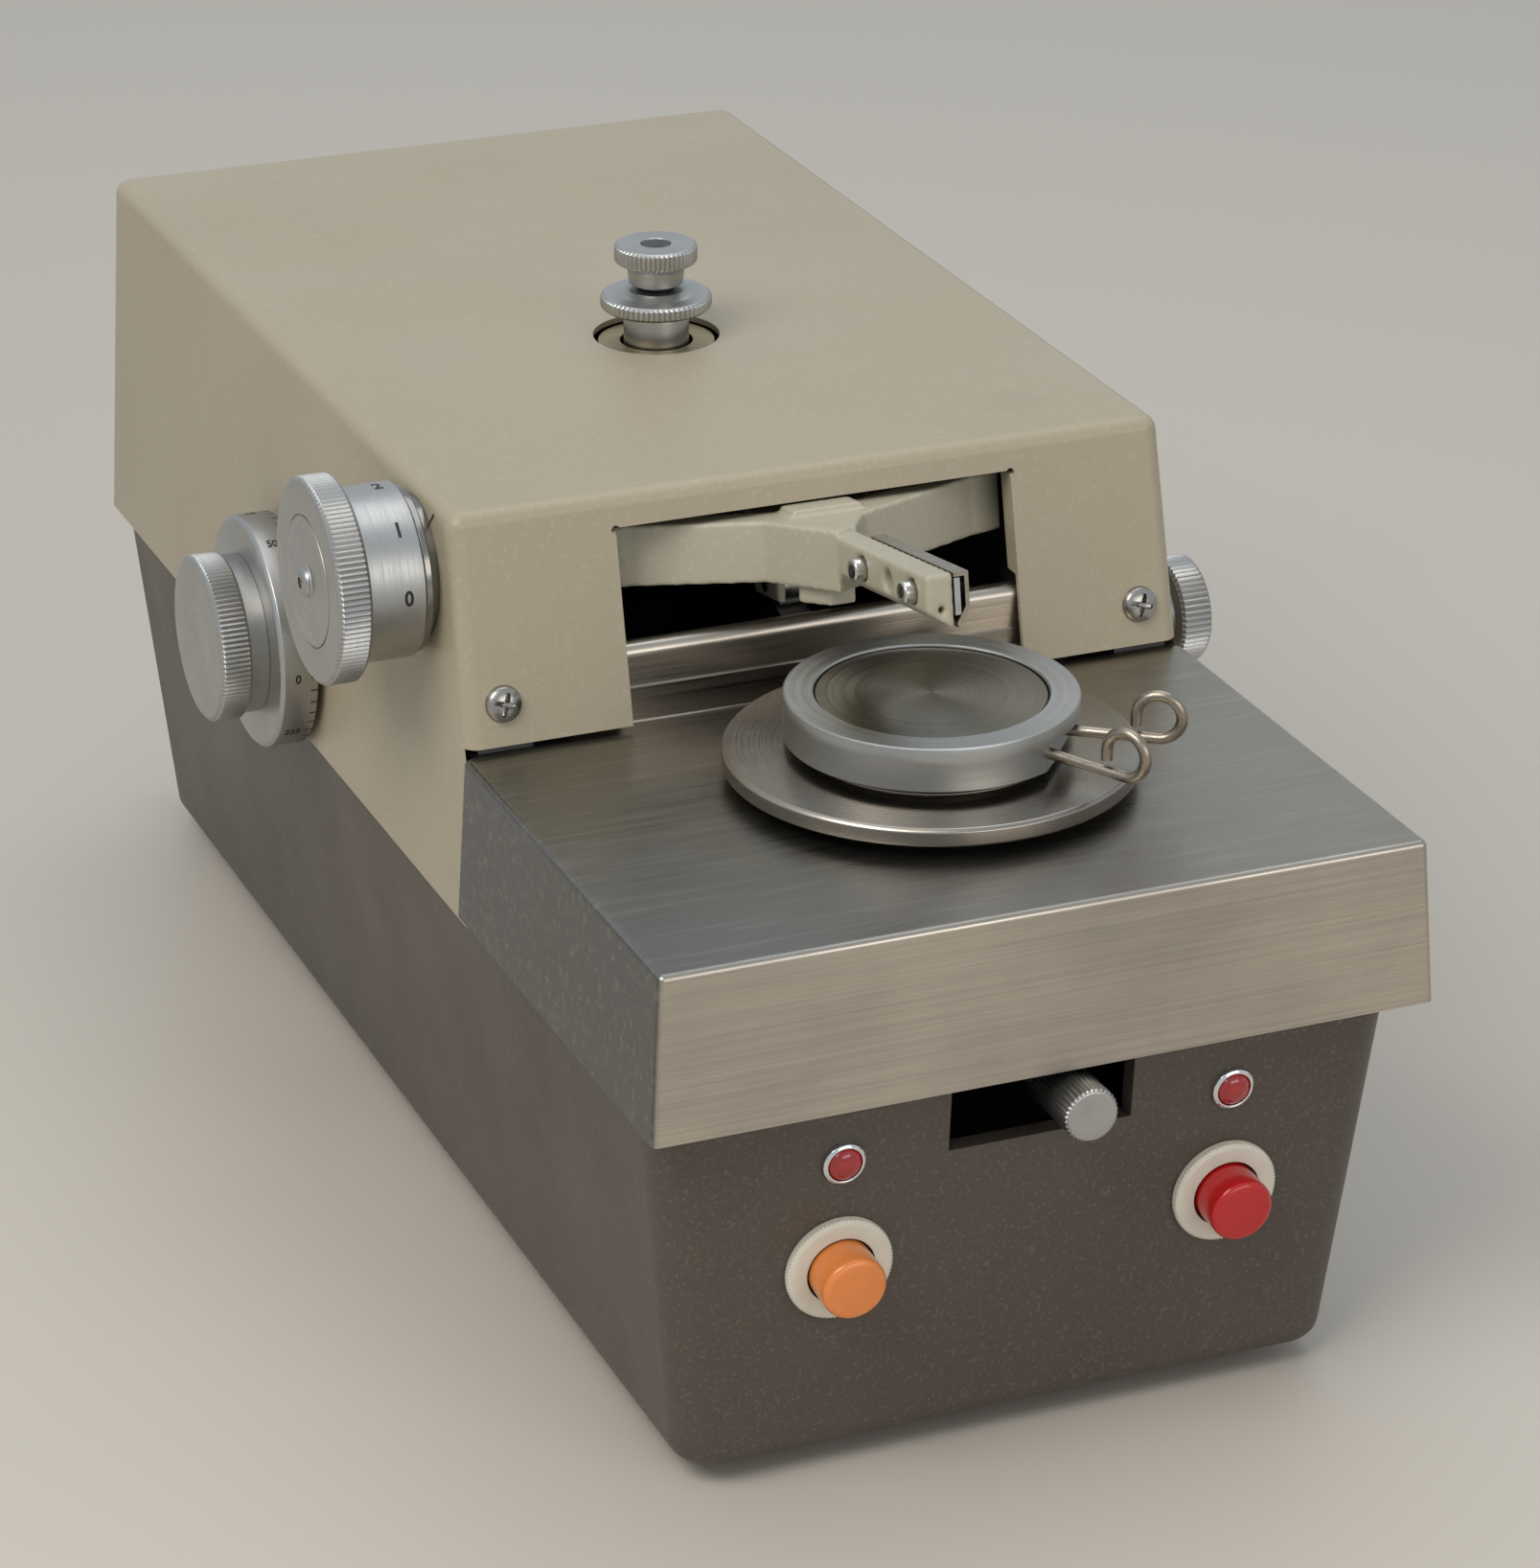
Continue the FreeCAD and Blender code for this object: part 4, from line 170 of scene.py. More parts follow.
def brushed(name, color, rough, scale, dark=None):
    """Brushed metal: the streaks run along the axis whose texture scale is the small one."""
    mat = Material(name, color, rough, 1.0)
    spread = 0.12
    streak = mat.noise(1.0, mat.coords(scale), rough=0.7)
    clouds = mat.span(mat.noise(14.0, detail=5.0, rough=0.6), 0.35, 0.7)
    dark = dark or tuple(c * 0.72 for c in color)
    deep = tuple(c * 0.6 for c in color)
    tone = mat.mix(mat.calc("MULTIPLY", clouds, 0.5), color, dark)
    mat.set("Base Color", mat.mix(mat.span(streak, 0.35, 0.7, 0.0, 0.35), tone, deep))
    mat.set("Roughness", mat.calc("ADD", mat.span(streak, 0.3, 0.7, rough - spread, rough + spread),
                                  mat.span(clouds, 0.0, 1.0, -0.03, 0.05)))
    mat.bump(streak, 0.5, 0.00001)
    return mat


def turned(name, color, rough, aniso=0.55, dark=None, depth=0.000006):
    """Lathe-turned metal about local Z: fine rings, and highlights that fan out from the centre."""
    mat = Material(name, color, rough, 1.0, Anisotropic=aniso)
    split = mat.node("SeparateXYZ")
    mat.link(mat.coords(), split.inputs[0])
    squares = [mat.calc("POWER", split.outputs[axis], 2.0) for axis in (0, 1)]
    join = mat.node("CombineXYZ")
    mat.link(mat.calc("SQRT", mat.calc("ADD", *squares)), join.inputs[0])
    mat.link(split.outputs[2], join.inputs[1])
    ring = mat.noise(2600.0, join.outputs[0], rough=0.75)
    clouds = mat.span(mat.noise(55.0, detail=5.0, rough=0.6), 0.35, 0.7)
    dark = dark or tuple(c * 0.75 for c in color)
    deep = tuple(c * 0.65 for c in color)
    tone = mat.mix(mat.calc("MULTIPLY", clouds, 0.5), color, dark)
    mat.set("Base Color", mat.mix(mat.span(ring, 0.35, 0.7, 0.0, 0.3), tone, deep))
    mat.set("Roughness", mat.calc("ADD", mat.span(ring, 0.3, 0.7, rough - 0.08, rough + 0.1),
                                  mat.span(clouds, 0.0, 1.0, -0.03, 0.05)))
    mat.bump(ring, 0.5, depth)
    tangent = mat.node("Tangent", direction_type="RADIAL", axis="Z")
    mat.link(tangent.outputs[0], mat.shader.inputs["Tangent"])
    return mat


def moulded(name, color, rough, mottle=0.12, **sockets):
    """Moulded plastic or rubber with a faint skin texture."""
    mat = Material(name, color, rough, **sockets)
    shade = tuple(c * (1.0 - mottle) for c in color)
    mat.set("Base Color", mat.mix(mat.span(mat.noise(120.0), 0.4, 0.65), color, shade))
    mat.set("Roughness", mat.span(mat.noise(300.0), 0.3, 0.7, rough * 0.85, rough * 1.15))
    mat.bump(mat.noise(1800.0, detail=2.0), 0.15, 0.00002)
    return mat


BASE_PAINT = painted("base_paint", srgb(80, 72, 64), srgb(70, 62, 55), srgb(116, 107, 95), 0.5,
                     1100.0, 0.00009, coat=0.1)
HOOD_PAINT = painted("hood_paint", srgb(173, 163, 141), srgb(164, 153, 129), srgb(186, 177, 156), 0.42,
                     900.0, 0.00005, coat=0.1)
ARM_PAINT = painted("arm_paint", srgb(184, 179, 160), srgb(168, 161, 138), srgb(197, 193, 177), 0.4,
                    700.0, 0.00006)
FRAME_PAINT = painted("frame_paint", srgb(46, 45, 44), srgb(36, 35, 34), srgb(58, 57, 55), 0.6,
                      700.0, 0.0001)
ALONG_X = (9.0, 1500.0, 1500.0)
STEEL = brushed("plain_steel", (0.46, 0.45, 0.43), 0.34, (300.0,) * 3)
BRIGHT_STEEL = brushed("bright_steel", (0.62, 0.6, 0.57), 0.24, (260.0,) * 3)
WIRE_STEEL = brushed("wire_steel", (0.37, 0.32, 0.26), 0.3, (420.0,) * 3, (0.25, 0.21, 0.16))
DARK_STEEL = brushed("dark_steel", (0.1, 0.1, 0.1), 0.4, (300.0,) * 3)
UPSTAND_STEEL = brushed("upstand_steel", (0.34, 0.3, 0.26), 0.3, ALONG_X, (0.24, 0.21, 0.18))
# A lighter copy of the upstand's steel, as a painted highlight along the bead and the bend.
BEAD_STEEL_PAINTED_HIGHLIGHT = brushed("bead_steel_painted_highlight", (0.52, 0.47, 0.41), 0.3, ALONG_X, (0.36, 0.32, 0.27))
NICKEL = turned("nickel", (0.42, 0.4, 0.37), 0.24, 0.2, (0.3, 0.28, 0.25))
PLATE_STEEL = turned("plate_steel", (0.36, 0.33, 0.29), 0.26, 0.7, (0.25, 0.225, 0.19))
RING_STEEL = turned("ring_steel", (0.47, 0.465, 0.45), 0.34, 0.5, (0.39, 0.385, 0.37))
DISC_STEEL = turned("disc_steel", (0.23, 0.21, 0.17), 0.3, 0.8, (0.15, 0.13, 0.1))
ALUMINIUM = turned("turned_aluminium", (0.47, 0.465, 0.45), 0.36, 0.3, (0.38, 0.375, 0.36))
POLISHED_RING = turned("polished_ring", (0.3, 0.29, 0.27), 0.18, 0.2, (0.22, 0.21, 0.19))
BRONZE = turned("bronze", (0.42, 0.33, 0.18), 0.35, 0.3)
CHROME = turned("chrome", (0.8, 0.8, 0.8), 0.1, 0.0, depth=0.000001)
BLACK = moulded("black_plastic", (0.012, 0.012, 0.013), 0.45)
RUBBER = moulded("rubber", (0.015, 0.015, 0.015), 0.7)
INK = moulded("ink", (0.01, 0.01, 0.01), 0.5)
CREAM = moulded("cream_plastic", srgb(222, 217, 203), 0.35, 0.06)
GLOSS = {"Coat_Weight": 0.3, "Coat_Roughness": 0.1}
ORANGE = moulded("orange_plastic", srgb(240, 142, 70), 0.22, 0.08, **GLOSS)
RED = moulded("red_plastic", srgb(196, 22, 26), 0.2, 0.1, **GLOSS)
LENS = moulded("red_lens", srgb(186, 22, 28), 0.12, 0.3, Coat_Weight=0.8, Coat_Roughness=0.05)


def deck_material():
    """Stainless sheet, brushed along X on the top and front and along Y on the side skirts, with smears.

    Painted reflections change the top's tone from left to right and towards the rear, upright faces get a
    painted highlight, and the left skirt, the darkest, is painted shade."""
    mat = Material("deck_steel_and_painted_light", (0.5, 0.49, 0.47), 0.3, 1.0)
    across = mat.noise(1.0, mat.coords(scale=(9.0, 1900.0, 1900.0)), detail=4.0, rough=0.7)
    inward = mat.noise(1.0, mat.coords(scale=(1900.0, 9.0, 1900.0)), detail=4.0, rough=0.7)
    split = mat.node("SeparateXYZ")
    mat.link(mat.node("NewGeometry").outputs["Normal"], split.inputs[0])
    side = mat.span(mat.calc("ABSOLUTE", split.outputs[0]), 0.5, 0.8)
    top = mat.span(split.outputs[2], 0.6, 0.9)
    streak = mat.calc("ADD", mat.calc("MULTIPLY", inward, side),
                      mat.calc("MULTIPLY", across, mat.calc("SUBTRACT", 1.0, side)))
    long_noise = mat.noise(1.0, mat.coords(scale=(26.0, 420.0, 420.0)), detail=5.0, rough=0.65)
    long_marks = mat.span(long_noise, 0.52, 0.72)
    smears = mat.span(mat.noise(11.0, detail=6.0, rough=0.62), 0.4, 0.68)
    place = mat.node("SeparateXYZ")
    mat.link(mat.node("NewGeometry").outputs["Position"], place.inputs[0])
    # Painted reflection on the top face: darker to the left, lighter and warmer to the right, olive-brown
    # towards the rear.
    rightward = mat.span(place.outputs[0], -0.09, 0.09)
    rearward = mat.span(place.outputs[1], -0.2, -0.1)
    left_skirt_painted_shade = mat.span(split.outputs[0], -0.5, -0.9)
    sheet = mat.mix(rightward, (0.22, 0.215, 0.205), (0.4, 0.355, 0.3))
    sheet = mat.mix(mat.calc("MULTIPLY", rearward, 0.5), sheet, (0.3, 0.28, 0.22))
    # Upright faces take a bright warm painted highlight; the top face takes its painted reflection.
    tone = mat.mix(top, (0.52, 0.46, 0.385), sheet)
    # Painted shade and dark reflection on the left skirt.
    tone = mat.mix(left_skirt_painted_shade, tone, (0.12, 0.122, 0.12))
    tone = mat.mix(mat.calc("MULTIPLY", smears, 0.4), tone, (0.2, 0.19, 0.17))
    tone = mat.mix(mat.span(streak, 0.4, 0.7, 0.0, 0.35), tone, (0.18, 0.17, 0.16))
    mat.set("Base Color", mat.mix(mat.calc("MULTIPLY", long_marks, 0.25), tone, (0.55, 0.52, 0.48)))
    rough = mat.calc("ADD", mat.span(streak, 0.3, 0.7, 0.22, 0.4), mat.span(smears, 0.0, 1.0, -0.02, 0.08))
    mat.set("Roughness", rough)
    waves = mat.calc("MULTIPLY", mat.noise(16.0), 6.0)
    mat.bump(mat.calc("ADD", streak, waves), 0.35, 0.00003)
    return mat


def add_stain(mat, place, radius, shade, share):
    """A faint round stain in a fixed piece's paint, at a place in millimetres."""
    away = mat.node("VectorMath", operation="DISTANCE")
    mat.link(mat.node("NewGeometry").outputs["Position"], away.inputs[0])
    away.inputs[1].default_value = Vector(place) * MM
    spot = mat.span(away.outputs["Value"], radius * 0.55 * MM, radius * MM, share, 0.0)
    paint = mat.shader.inputs["Base Color"].links[0].from_socket
    mat.set("Base Color", mat.mix(spot, paint, shade))


DECK_STEEL_AND_PAINTED_LIGHT = deck_material()
add_stain(HOOD_PAINT, (69.0, -56.5, 199.4), 10.0, srgb(130, 118, 92), 0.1)

NODE_MATERIALS = {
    "base_housing": BASE_PAINT, "bottom_cover": DARK_STEEL, "base_screws": STEEL, "rubber_feet": RUBBER,
    "chassis_plate": DARK_STEEL, "deck": DECK_STEEL_AND_PAINTED_LIGHT, "hood": HOOD_PAINT, "hood_brackets": BLACK,
    "inner_frame": FRAME_PAINT, "frame_bushes": BRONZE, "rail_blocks": FRAME_PAINT, "guide_rods": STEEL,
    "motor": DARK_STEEL, "rate_control": BLACK, "rate_ring": BLACK, "feed_bearing": DARK_STEEL,
    "force_bush": BRONZE, "switch_bodies": BLACK, "cable_gland": BLACK, "force_stem": DARK_STEEL,
    "force_washer": BLACK, "force_spring": STEEL, "arm_casting": ARM_PAINT, "arm_pivot_shaft": STEEL,
    "blade_clamp": WIRE_STEEL, "clamp_bar": STEEL, "clamp_screws": STEEL, "follower_roller": STEEL,
    "cam_shaft": STEEL, "lift_cam": STEEL, "feed_cam": STEEL, "cam_pulley": ALUMINIUM, "hand_knob": ALUMINIUM,
    "motor_pulley": ALUMINIUM, "drive_belt": RUBBER, "feed_bar": STEEL, "feed_lever": STEEL,
    "lead_screw": STEEL, "ratchet_wheel": STEEL, "table_carriage": FRAME_PAINT, "half_nut": BRONZE,
    "release_knob": ALUMINIUM, "table_plate": PLATE_STEEL, "specimen_ring": RING_STEEL,
    "specimen_disc": DISC_STEEL, "eye_pin_front": WIRE_STEEL, "eye_pin_rear": WIRE_STEEL,
    "force_knob": ALUMINIUM, "lock_knob": ALUMINIUM, "rate_knob": ALUMINIUM, "rate_screw": STEEL,
    "rate_shaft": STEEL, "feed_knob": ALUMINIUM, "feed_drum": ALUMINIUM, "start_button": ORANGE,
    "stop_button": RED, "button_bezels": CREAM, "pilot_rings": CHROME, "pilot_lenses": LENS,
    "hood_screws": BRIGHT_STEEL,
}

for node_name, node_material in NODE_MATERIALS.items():
    node = NODES[node_name]
    if node.material_slots:
        for material_slot in node.material_slots:
            material_slot.material = node_material.data
    else:
        node.data.materials.append(node_material.data)


# Meshes

def make_object(name, data, material, body, node=None, place=None):
    """Put a finished mesh or curve in the scene, riding on a body, for a CAD node where one is named."""
    item = bpy.data.objects.new(name, data)
    bpy.context.scene.collection.objects.link(item)
    data.materials.append(material.data)
    if place is not None:
        item.matrix_world = place
    bpy.context.view_layer.update()
    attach(item, body)
    if node:
        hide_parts(node)


def finish_mesh(name, bm, angle=32.0):
    """Smooth shading with sharp edges kept where faces meet at more than the angle."""
    bmesh.ops.recalc_face_normals(bm, faces=bm.faces)
    limit = math.radians(angle)
    for face in bm.faces:
        face.smooth = True
    for edge in bm.edges:
        if len(edge.link_faces) == 2 and edge.calc_face_angle(0.0) > limit:
            edge.smooth = False
    mesh = bpy.data.meshes.new(name)
    bm.to_mesh(mesh)
    bm.free()
    return mesh


def rounded(profile, radius, steps):
    """Soften a profile's corners: each point is (along, radius, kind)."""
    least, longest_share, straight = 0.02, 0.45, math.radians(172)
    points = [tuple(p) + (None,) * (3 - len(p)) for p in profile]
    out = [points[0]]
    for before, here, after in zip(points, points[1:], points[2:]):
        corner = Vector(here[:2])
        a = Vector(before[:2]) - corner
        b = Vector(after[:2]) - corner
        reach = min(radius, a.length * longest_share, b.length * longest_share)
        if reach < least or a.angle(b) > straight or here[2] == "hex":
            out.append(here)
            continue
        start = corner + a.normalized() * reach
        end = corner + b.normalized() * reach
        for step in range(steps + 1):
            t = step / steps
            p = start * (1 - t) ** 2 + corner * 2 * t * (1 - t) + end * t ** 2
            out.append((p.x, p.y, here[2]))
    out.append(points[-1])
    return out


KNURL_SHAPE = (0.0, 0.35, 1.0, 0.35)
HEX_SIDE = math.radians(60)


def lathe(name, profile, teeth=0, depth=0.4, segments=96, soften=0.25, steps=3):
    """A turned mesh about local Z, in metres. Points marked knurl get straight teeth; hex makes a hexagon."""
    count = teeth * len(KNURL_SHAPE) if teeth else segments
    bm = bmesh.new()
    rings = []
    for along, radius, kind in rounded(profile, soften, steps):
        if radius < 1e-6:
            rings.append([bm.verts.new((0, 0, along * MM))])
            continue
        ring = []
        for i in range(count):
            angle = 2 * math.pi * i / count
            r = radius
            if kind == "knurl":
                r -= depth * KNURL_SHAPE[i % len(KNURL_SHAPE)]
            if kind == "hex":
                r = radius * math.cos(HEX_SIDE / 2) / math.cos(angle % HEX_SIDE - HEX_SIDE / 2)
            ring.append(bm.verts.new((r * math.cos(angle) * MM, r * math.sin(angle) * MM, along * MM)))
        rings.append(ring)
    join_rings(bm, rings, count)
    return finish_mesh(name, bm)


def join_rings(bm, rings, count):
    """Faces between rings of verts, where a ring may also be a single vert on the axis."""
    for low, high in zip(rings, rings[1:]):
        for i in range(count):
            j = (i + 1) % count
            corners = [low[i % len(low)], low[j % len(low)], high[j % len(high)], high[i % len(high)]]
            unique = list(dict.fromkeys(corners))
            if len(unique) > 2:
                bm.faces.new(unique)


def axis_place(origin, direction, side):
    """A matrix with local Z along direction and local X as near to side as it can be."""
    z = Vector(direction).normalized()
    y = z.cross(Vector(side)).normalized()
    x = y.cross(z)
    matrix = Matrix((x, y, z)).transposed().to_4x4()
    matrix.translation = Vector(origin)
    return matrix


RIGHTWARD = (1, 0, 0)
REARWARD = (0, 1, 0)
UPWARD = (0, 0, 1)


def turned_piece(name, profile, origin, direction, material, body, node=None, side=UPWARD, **options):
    """A turned piece whose profile starts at a place in millimetres and runs along a direction."""
    place = axis_place([c * MM for c in origin], direction, side)
    make_object(name, lathe(name, profile, **options), material, body, node, place)


# Places read from the frame

def node_box(name):
    """A node's lowest and highest corners in millimetres."""
    low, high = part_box(name)
    return Vector(low) / MM, Vector(high) / MM


def node_middle(name):
    low, high = node_box(name)
    return (low + high) / 2


def joint_axis(name):
    """A joint's place in millimetres and its axis."""
    for joint in frame["joints"]:
        if joint["name"] == name:
            return Vector(joint.get("pos_m", (0, 0, 0))) / MM, Vector(joint["axis"])
    raise KeyError(name)


SKIRT_LEAN = 2.1
FRONT = node_box("deck")[0].y + SKIRT_LEAN
DECK_TOP = 142.7
HOOD_FRONT_LEAN = 13.0
HOOD_REAR_LEAN = 12.0
BASE_FRONT_LEAN = 7.8
HOOD_BACK = 127.3
UPSTAND_BACK = 133.5


def hood_front(level):
    """The hood's front face in Y at a level above the deck."""
    top = node_box("hood")[1].z
    return FRONT + HOOD_BACK + HOOD_FRONT_LEAN * (level - DECK_TOP) / (top - DECK_TOP)


def base_front(level):
    """The base's front face in Y at a level: it leans in towards the foot."""
    low, high = node_box("base_housing")
    return low.y + BASE_FRONT_LEAN * (high.z - level) / (high.z - low.z)


# Numbers and ticks printed on drums

def text_mesh(text, height):
    """Flat triangles of a short number, centred, in millimetres, with the digits' height as given."""
    curve = bpy.data.curves.new("number", "FONT")
    curve.body = text
    curve.resolution_u = 3
    curve.offset = 0.034
    item = bpy.data.objects.new("number", curve)
    bpy.context.scene.collection.objects.link(item)
    bpy.context.view_layer.update()
    mesh = item.to_mesh()
    points = [v.co.copy() for v in mesh.vertices]
    faces = [tuple(p.vertices) for p in mesh.polygons]
    item.to_mesh_clear()
    bpy.data.objects.remove(item)
    bpy.data.curves.remove(curve)
    left, right = min(p.x for p in points), max(p.x for p in points)
    bottom, top = min(p.y for p in points), max(p.y for p in points)
    scale = height / (top - bottom)
    centred = [((p.x - (right + left) / 2) * scale, (p.y - (top + bottom) / 2) * scale) for p in points]
    return centred, faces


class DrumMarks:
    """Marks printed on a drum whose axis runs along X; angles are degrees above the front horizontal."""

    def __init__(self, name, centre, radius, body):
        self.bm = bmesh.new()
        self.name = name
        self.centre = centre
        self.radius = radius
        self.body = body

    def point(self, x, angle):
        ink = 0.03
        r = self.radius + ink
        turn = math.radians(angle)
        y = self.centre.y - r * math.cos(turn)
        z = self.centre.z + r * math.sin(turn)
        return self.bm.verts.new((x * MM, y * MM, z * MM))

    def number(self, text, x, angle, height):
        """Bend a flat number round the drum, cut into strips first so that it follows the curve."""
        squeeze = 0.85
        strips = 10
        points, faces = text_mesh(text, height)
        flat = bmesh.new()
        verts = [flat.verts.new((u, v, 0)) for u, v in points]
        for face in faces:
            flat.faces.new([verts[i] for i in face])
        for strip in range(1, strips):
            level = height * (strip / strips - 0.5)
            bmesh.ops.bisect_plane(flat, geom=flat.verts[:] + flat.edges[:] + flat.faces[:],
                                   plane_co=(0, level, 0), plane_no=(0, 1, 0))
        bent = {v: self.point(x + v.co.x * squeeze, angle + math.degrees(v.co.y / self.radius))
                for v in flat.verts}
        for face in flat.faces:
            self.bm.faces.new([bent[v] for v in face.verts])
        flat.free()

    def line(self, x_low, x_high, angle, width):
        half = math.degrees(width / 2 / self.radius)
        low, high = angle - half, angle + half
        corners = ((x_low, low), (x_high, low), (x_high, high), (x_low, high))
        self.bm.faces.new([self.point(x, turn) for x, turn in corners])

    def done(self):
        mesh = bpy.data.meshes.new(self.name)
        self.bm.to_mesh(mesh)
        self.bm.free()
        make_object(self.name, mesh, INK, self.body)


# Dials and knobs

RATE_RECESS = 0.6
RATE_DRUM = 21.4
FEED_DRUM = 30.5


def rate_dial():
    """The big dial: a knurled rim, a plain drum, and a fine groove round the middle of its face."""
    low, high = node_box("rate_knob")
    centre = node_middle("rate_knob")
    rim = 25.4
    width = 8.4
    groove = 16.2
    start = low.x + RATE_RECESS
    length = high.x - start
    profile = [
        (-RATE_RECESS, 0), (-RATE_RECESS, 3.9), (-0.1, 4.2), (-0.1, groove - 0.25), (0.5, groove - 0.2),
        (0.5, groove + 0.1), (0.0, groove + 0.15), (0, rim - 1.2), (0.9, rim, "knurl"),
        (width - 0.9, rim, "knurl"), (width, rim - 1.2), (width, RATE_DRUM), (length, RATE_DRUM),
        (length, RATE_DRUM - 2)]
    turned_piece("rate_dial", profile, (start, centre.y, centre.z), RIGHTWARD, ALUMINIUM, "rate",
                 "rate_knob", teeth=112, depth=0.55, soften=0.2)


def rate_numbers():
    high = node_box("rate_knob")[1]
    from_edge = 4.3
    first, step, height = 2.0, 45.5, 4.1
    marks = DrumMarks("rate_numbers", node_middle("rate_knob"), RATE_DRUM, "rate")
    for number in range(7):
        marks.number(str(number), high.x - from_edge, first + step * number, height)
    marks.done()


def rate_dial_face():
    """The domed socket screw in the dial's middle, and two small bright pits above and below it."""
    low = node_box("rate_knob")[0]
    centre = node_middle("rate_knob")
    start = low.x + RATE_RECESS
    head = [(-0.9, 0), (-0.9, 1.6, "hex"), (-2.0, 1.6, "hex"), (-2.0, 1.9), (-1.85, 2.6), (-1.4, 3.3),
            (-0.6, 3.9), (-0.6, 0)]
    turned_piece("rate_dial_screw", head, (start, centre.y, centre.z), RIGHTWARD, STEEL, "rate",
                 "rate_screw", segments=48, soften=0.2)
    pit = [(-0.12, 0), (-0.12, 0.5), (0.1, 0.5), (0.1, 0)]
    for tag, back, rise in (("high", 1.9, 13.6), ("low", -1.7, -12.9)):
        turned_piece("rate_dial_pit_" + tag, pit, (start, centre.y + back, centre.z + rise), RIGHTWARD,
                     BRIGHT_STEEL, "rate", segments=24, soften=0.03)


def rate_collar():
    """The polished ring behind the big dial, with a narrower neck next to the hood."""
    low, high = node_box("rate_ring")
    centre = node_middle("rate_knob")
    radius = (high.z - low.z) / 2
    neck = radius - 2.6
    bore = radius - 4
    width = high.x - low.x
    band = 2.0
    profile = [(0, bore), (0, radius - 0.3), (0.3, radius), (band - 0.3, radius), (band, radius - 0.3),
               (band, neck), (width, neck), (width, bore)]
    turned_piece("rate_collar", profile, (low.x, centre.y, centre.z), RIGHTWARD, POLISHED_RING, "frame",
                 "rate_ring", segments=160, soften=0.1)


def feed_dial():
    """The feed dial: a knurled grip in front of a wide drum with a scale."""
    low, high = node_box("feed_knob")
    centre = node_middle("feed_knob")
    rim = 21.9
    width = 8.3
    length = high.x - low.x
    grip = [(0.4, 0), (0.1, rim * 0.45), (0, rim - 1.3), (0.9, rim, "knurl"), (width - 0.7, rim, "knurl"),
            (width, rim - 1.1), (length, rim - 1.1), (length, 6)]
    turned_piece("feed_grip", grip, (low.x, centre.y, centre.z), RIGHTWARD, ALUMINIUM, "feed",
                 "feed_knob", teeth=100, depth=0.5)
    start = high.x
    wide = 9.8
    inner = node_box("feed_drum")[1].x - start
    drum = [(0, 5), (0, FEED_DRUM - 0.9), (0.9, FEED_DRUM), (wide, FEED_DRUM), (wide, 4), (inner, 4),
            (inner, 0)]
    turned_piece("feed_scale_drum", drum, (start, centre.y, centre.z), RIGHTWARD, ALUMINIUM, "feed",
                 "feed_drum", segments=180, soften=0.2)
    feed_scale(centre, start + wide)


def feed_scale(centre, edge):
    """Fifty ticks along the drum's rear edge, with a number at each fifth."""
    ticks = 50
    zero, length, width = -4.5, 1.9, 0.42
    margin = 0.1
    from_edge, height = 5.3, 2.65
    marks = DrumMarks("feed_numbers", centre, FEED_DRUM, "feed")
    for tick in range(ticks):
        angle = zero + 360 / ticks * tick
        marks.line(edge - length, edge - margin, angle, width)
        if tick % 5 == 0:
            marks.number(str(tick * 5), edge - from_edge, angle, height)
    marks.done()


def index_line():
    """The black line on the hood's left side that the big dial's numbers are read against."""
    low, high = Vector((-88.46, -61.9, 190.0)), Vector((-88.31, -68.1, 196.4))
    half_width = 0.4
    across = (high - low).cross(Vector(RIGHTWARD)).normalized() * half_width
    bm = bmesh.new()
    corners = [low - across, low + across, high + across, high - across]
    bm.faces.new([bm.verts.new(corner * MM) for corner in corners])
    mesh = bpy.data.meshes.new("index_line")
    bm.to_mesh(mesh)
    bm.free()
    make_object("index_line", mesh, INK, "frame")


def force_knobs():
    """The two knobs on the force stem, each profile measured up from its node's foot."""
    low, high = node_box("force_knob")
    bore = 3.1
    disc = 16.5
    height = 3.8
    rim = 14.4
    top = high.z - low.z
    grip = [(0, bore), (0, 8.45), (disc - 1.6, 8.45), (disc - 1.2, 7.2), (disc, 7.2), (disc, rim - 1.0),
            (disc + 0.7, rim, "knurl"), (disc + height - 0.7, rim, "knurl"), (disc + height, rim - 1.0),
            (disc + height + 0.3, 10.5), (top, 8.0), (top, bore)]
    cap_knob("force_grip", "force_knob", "force", grip, 62, 0.5)
    low, high = node_box("lock_knob")
    disc = 5.5
    rim = 10.7
    top = high.z - low.z
    grip = [(0, bore), (0, 7.0), (disc - 1.6, 7.4), (disc, 8.6), (disc, rim - 0.9),
            (disc + 0.6, rim, "knurl"), (top - 0.6, rim, "knurl"), (top, rim - 0.9), (top, 3.9),
            (top - 0.9, 3.8), (top - 0.9, bore)]
    cap_knob("lock_grip", "lock_knob", "lock", grip, 50, 0.45)


def cap_knob(name, node, body, profile, teeth, depth):
    low = node_box(node)[0]
    middle = node_middle(node)
    turned_piece(name, profile, (middle.x, middle.y, low.z), UPWARD, ALUMINIUM, body, node, RIGHTWARD,
                 teeth=teeth, depth=depth)


def hand_knob():
    low, high = node_box("hand_knob")
    centre = node_middle("hand_knob")
    length = high.x - low.x
    width = 8.6
    rim = 13.8
    hub = 9
    neck = length - width
    profile = [(0, 4.1), (0, hub), (neck, hub), (neck, rim - 1.2), (neck + 0.9, rim, "knurl"),
               (length - 0.9, rim, "knurl"), (length, rim - 1.2), (length, rim - 3),
               (length - 0.4, rim - 3.6), (length - 0.4, 0)]
    turned_piece("hand_grip", profile, (low.x, centre.y, centre.z), RIGHTWARD, ALUMINIUM, "cam_rotor",
                 "hand_knob", teeth=54, depth=0.75)


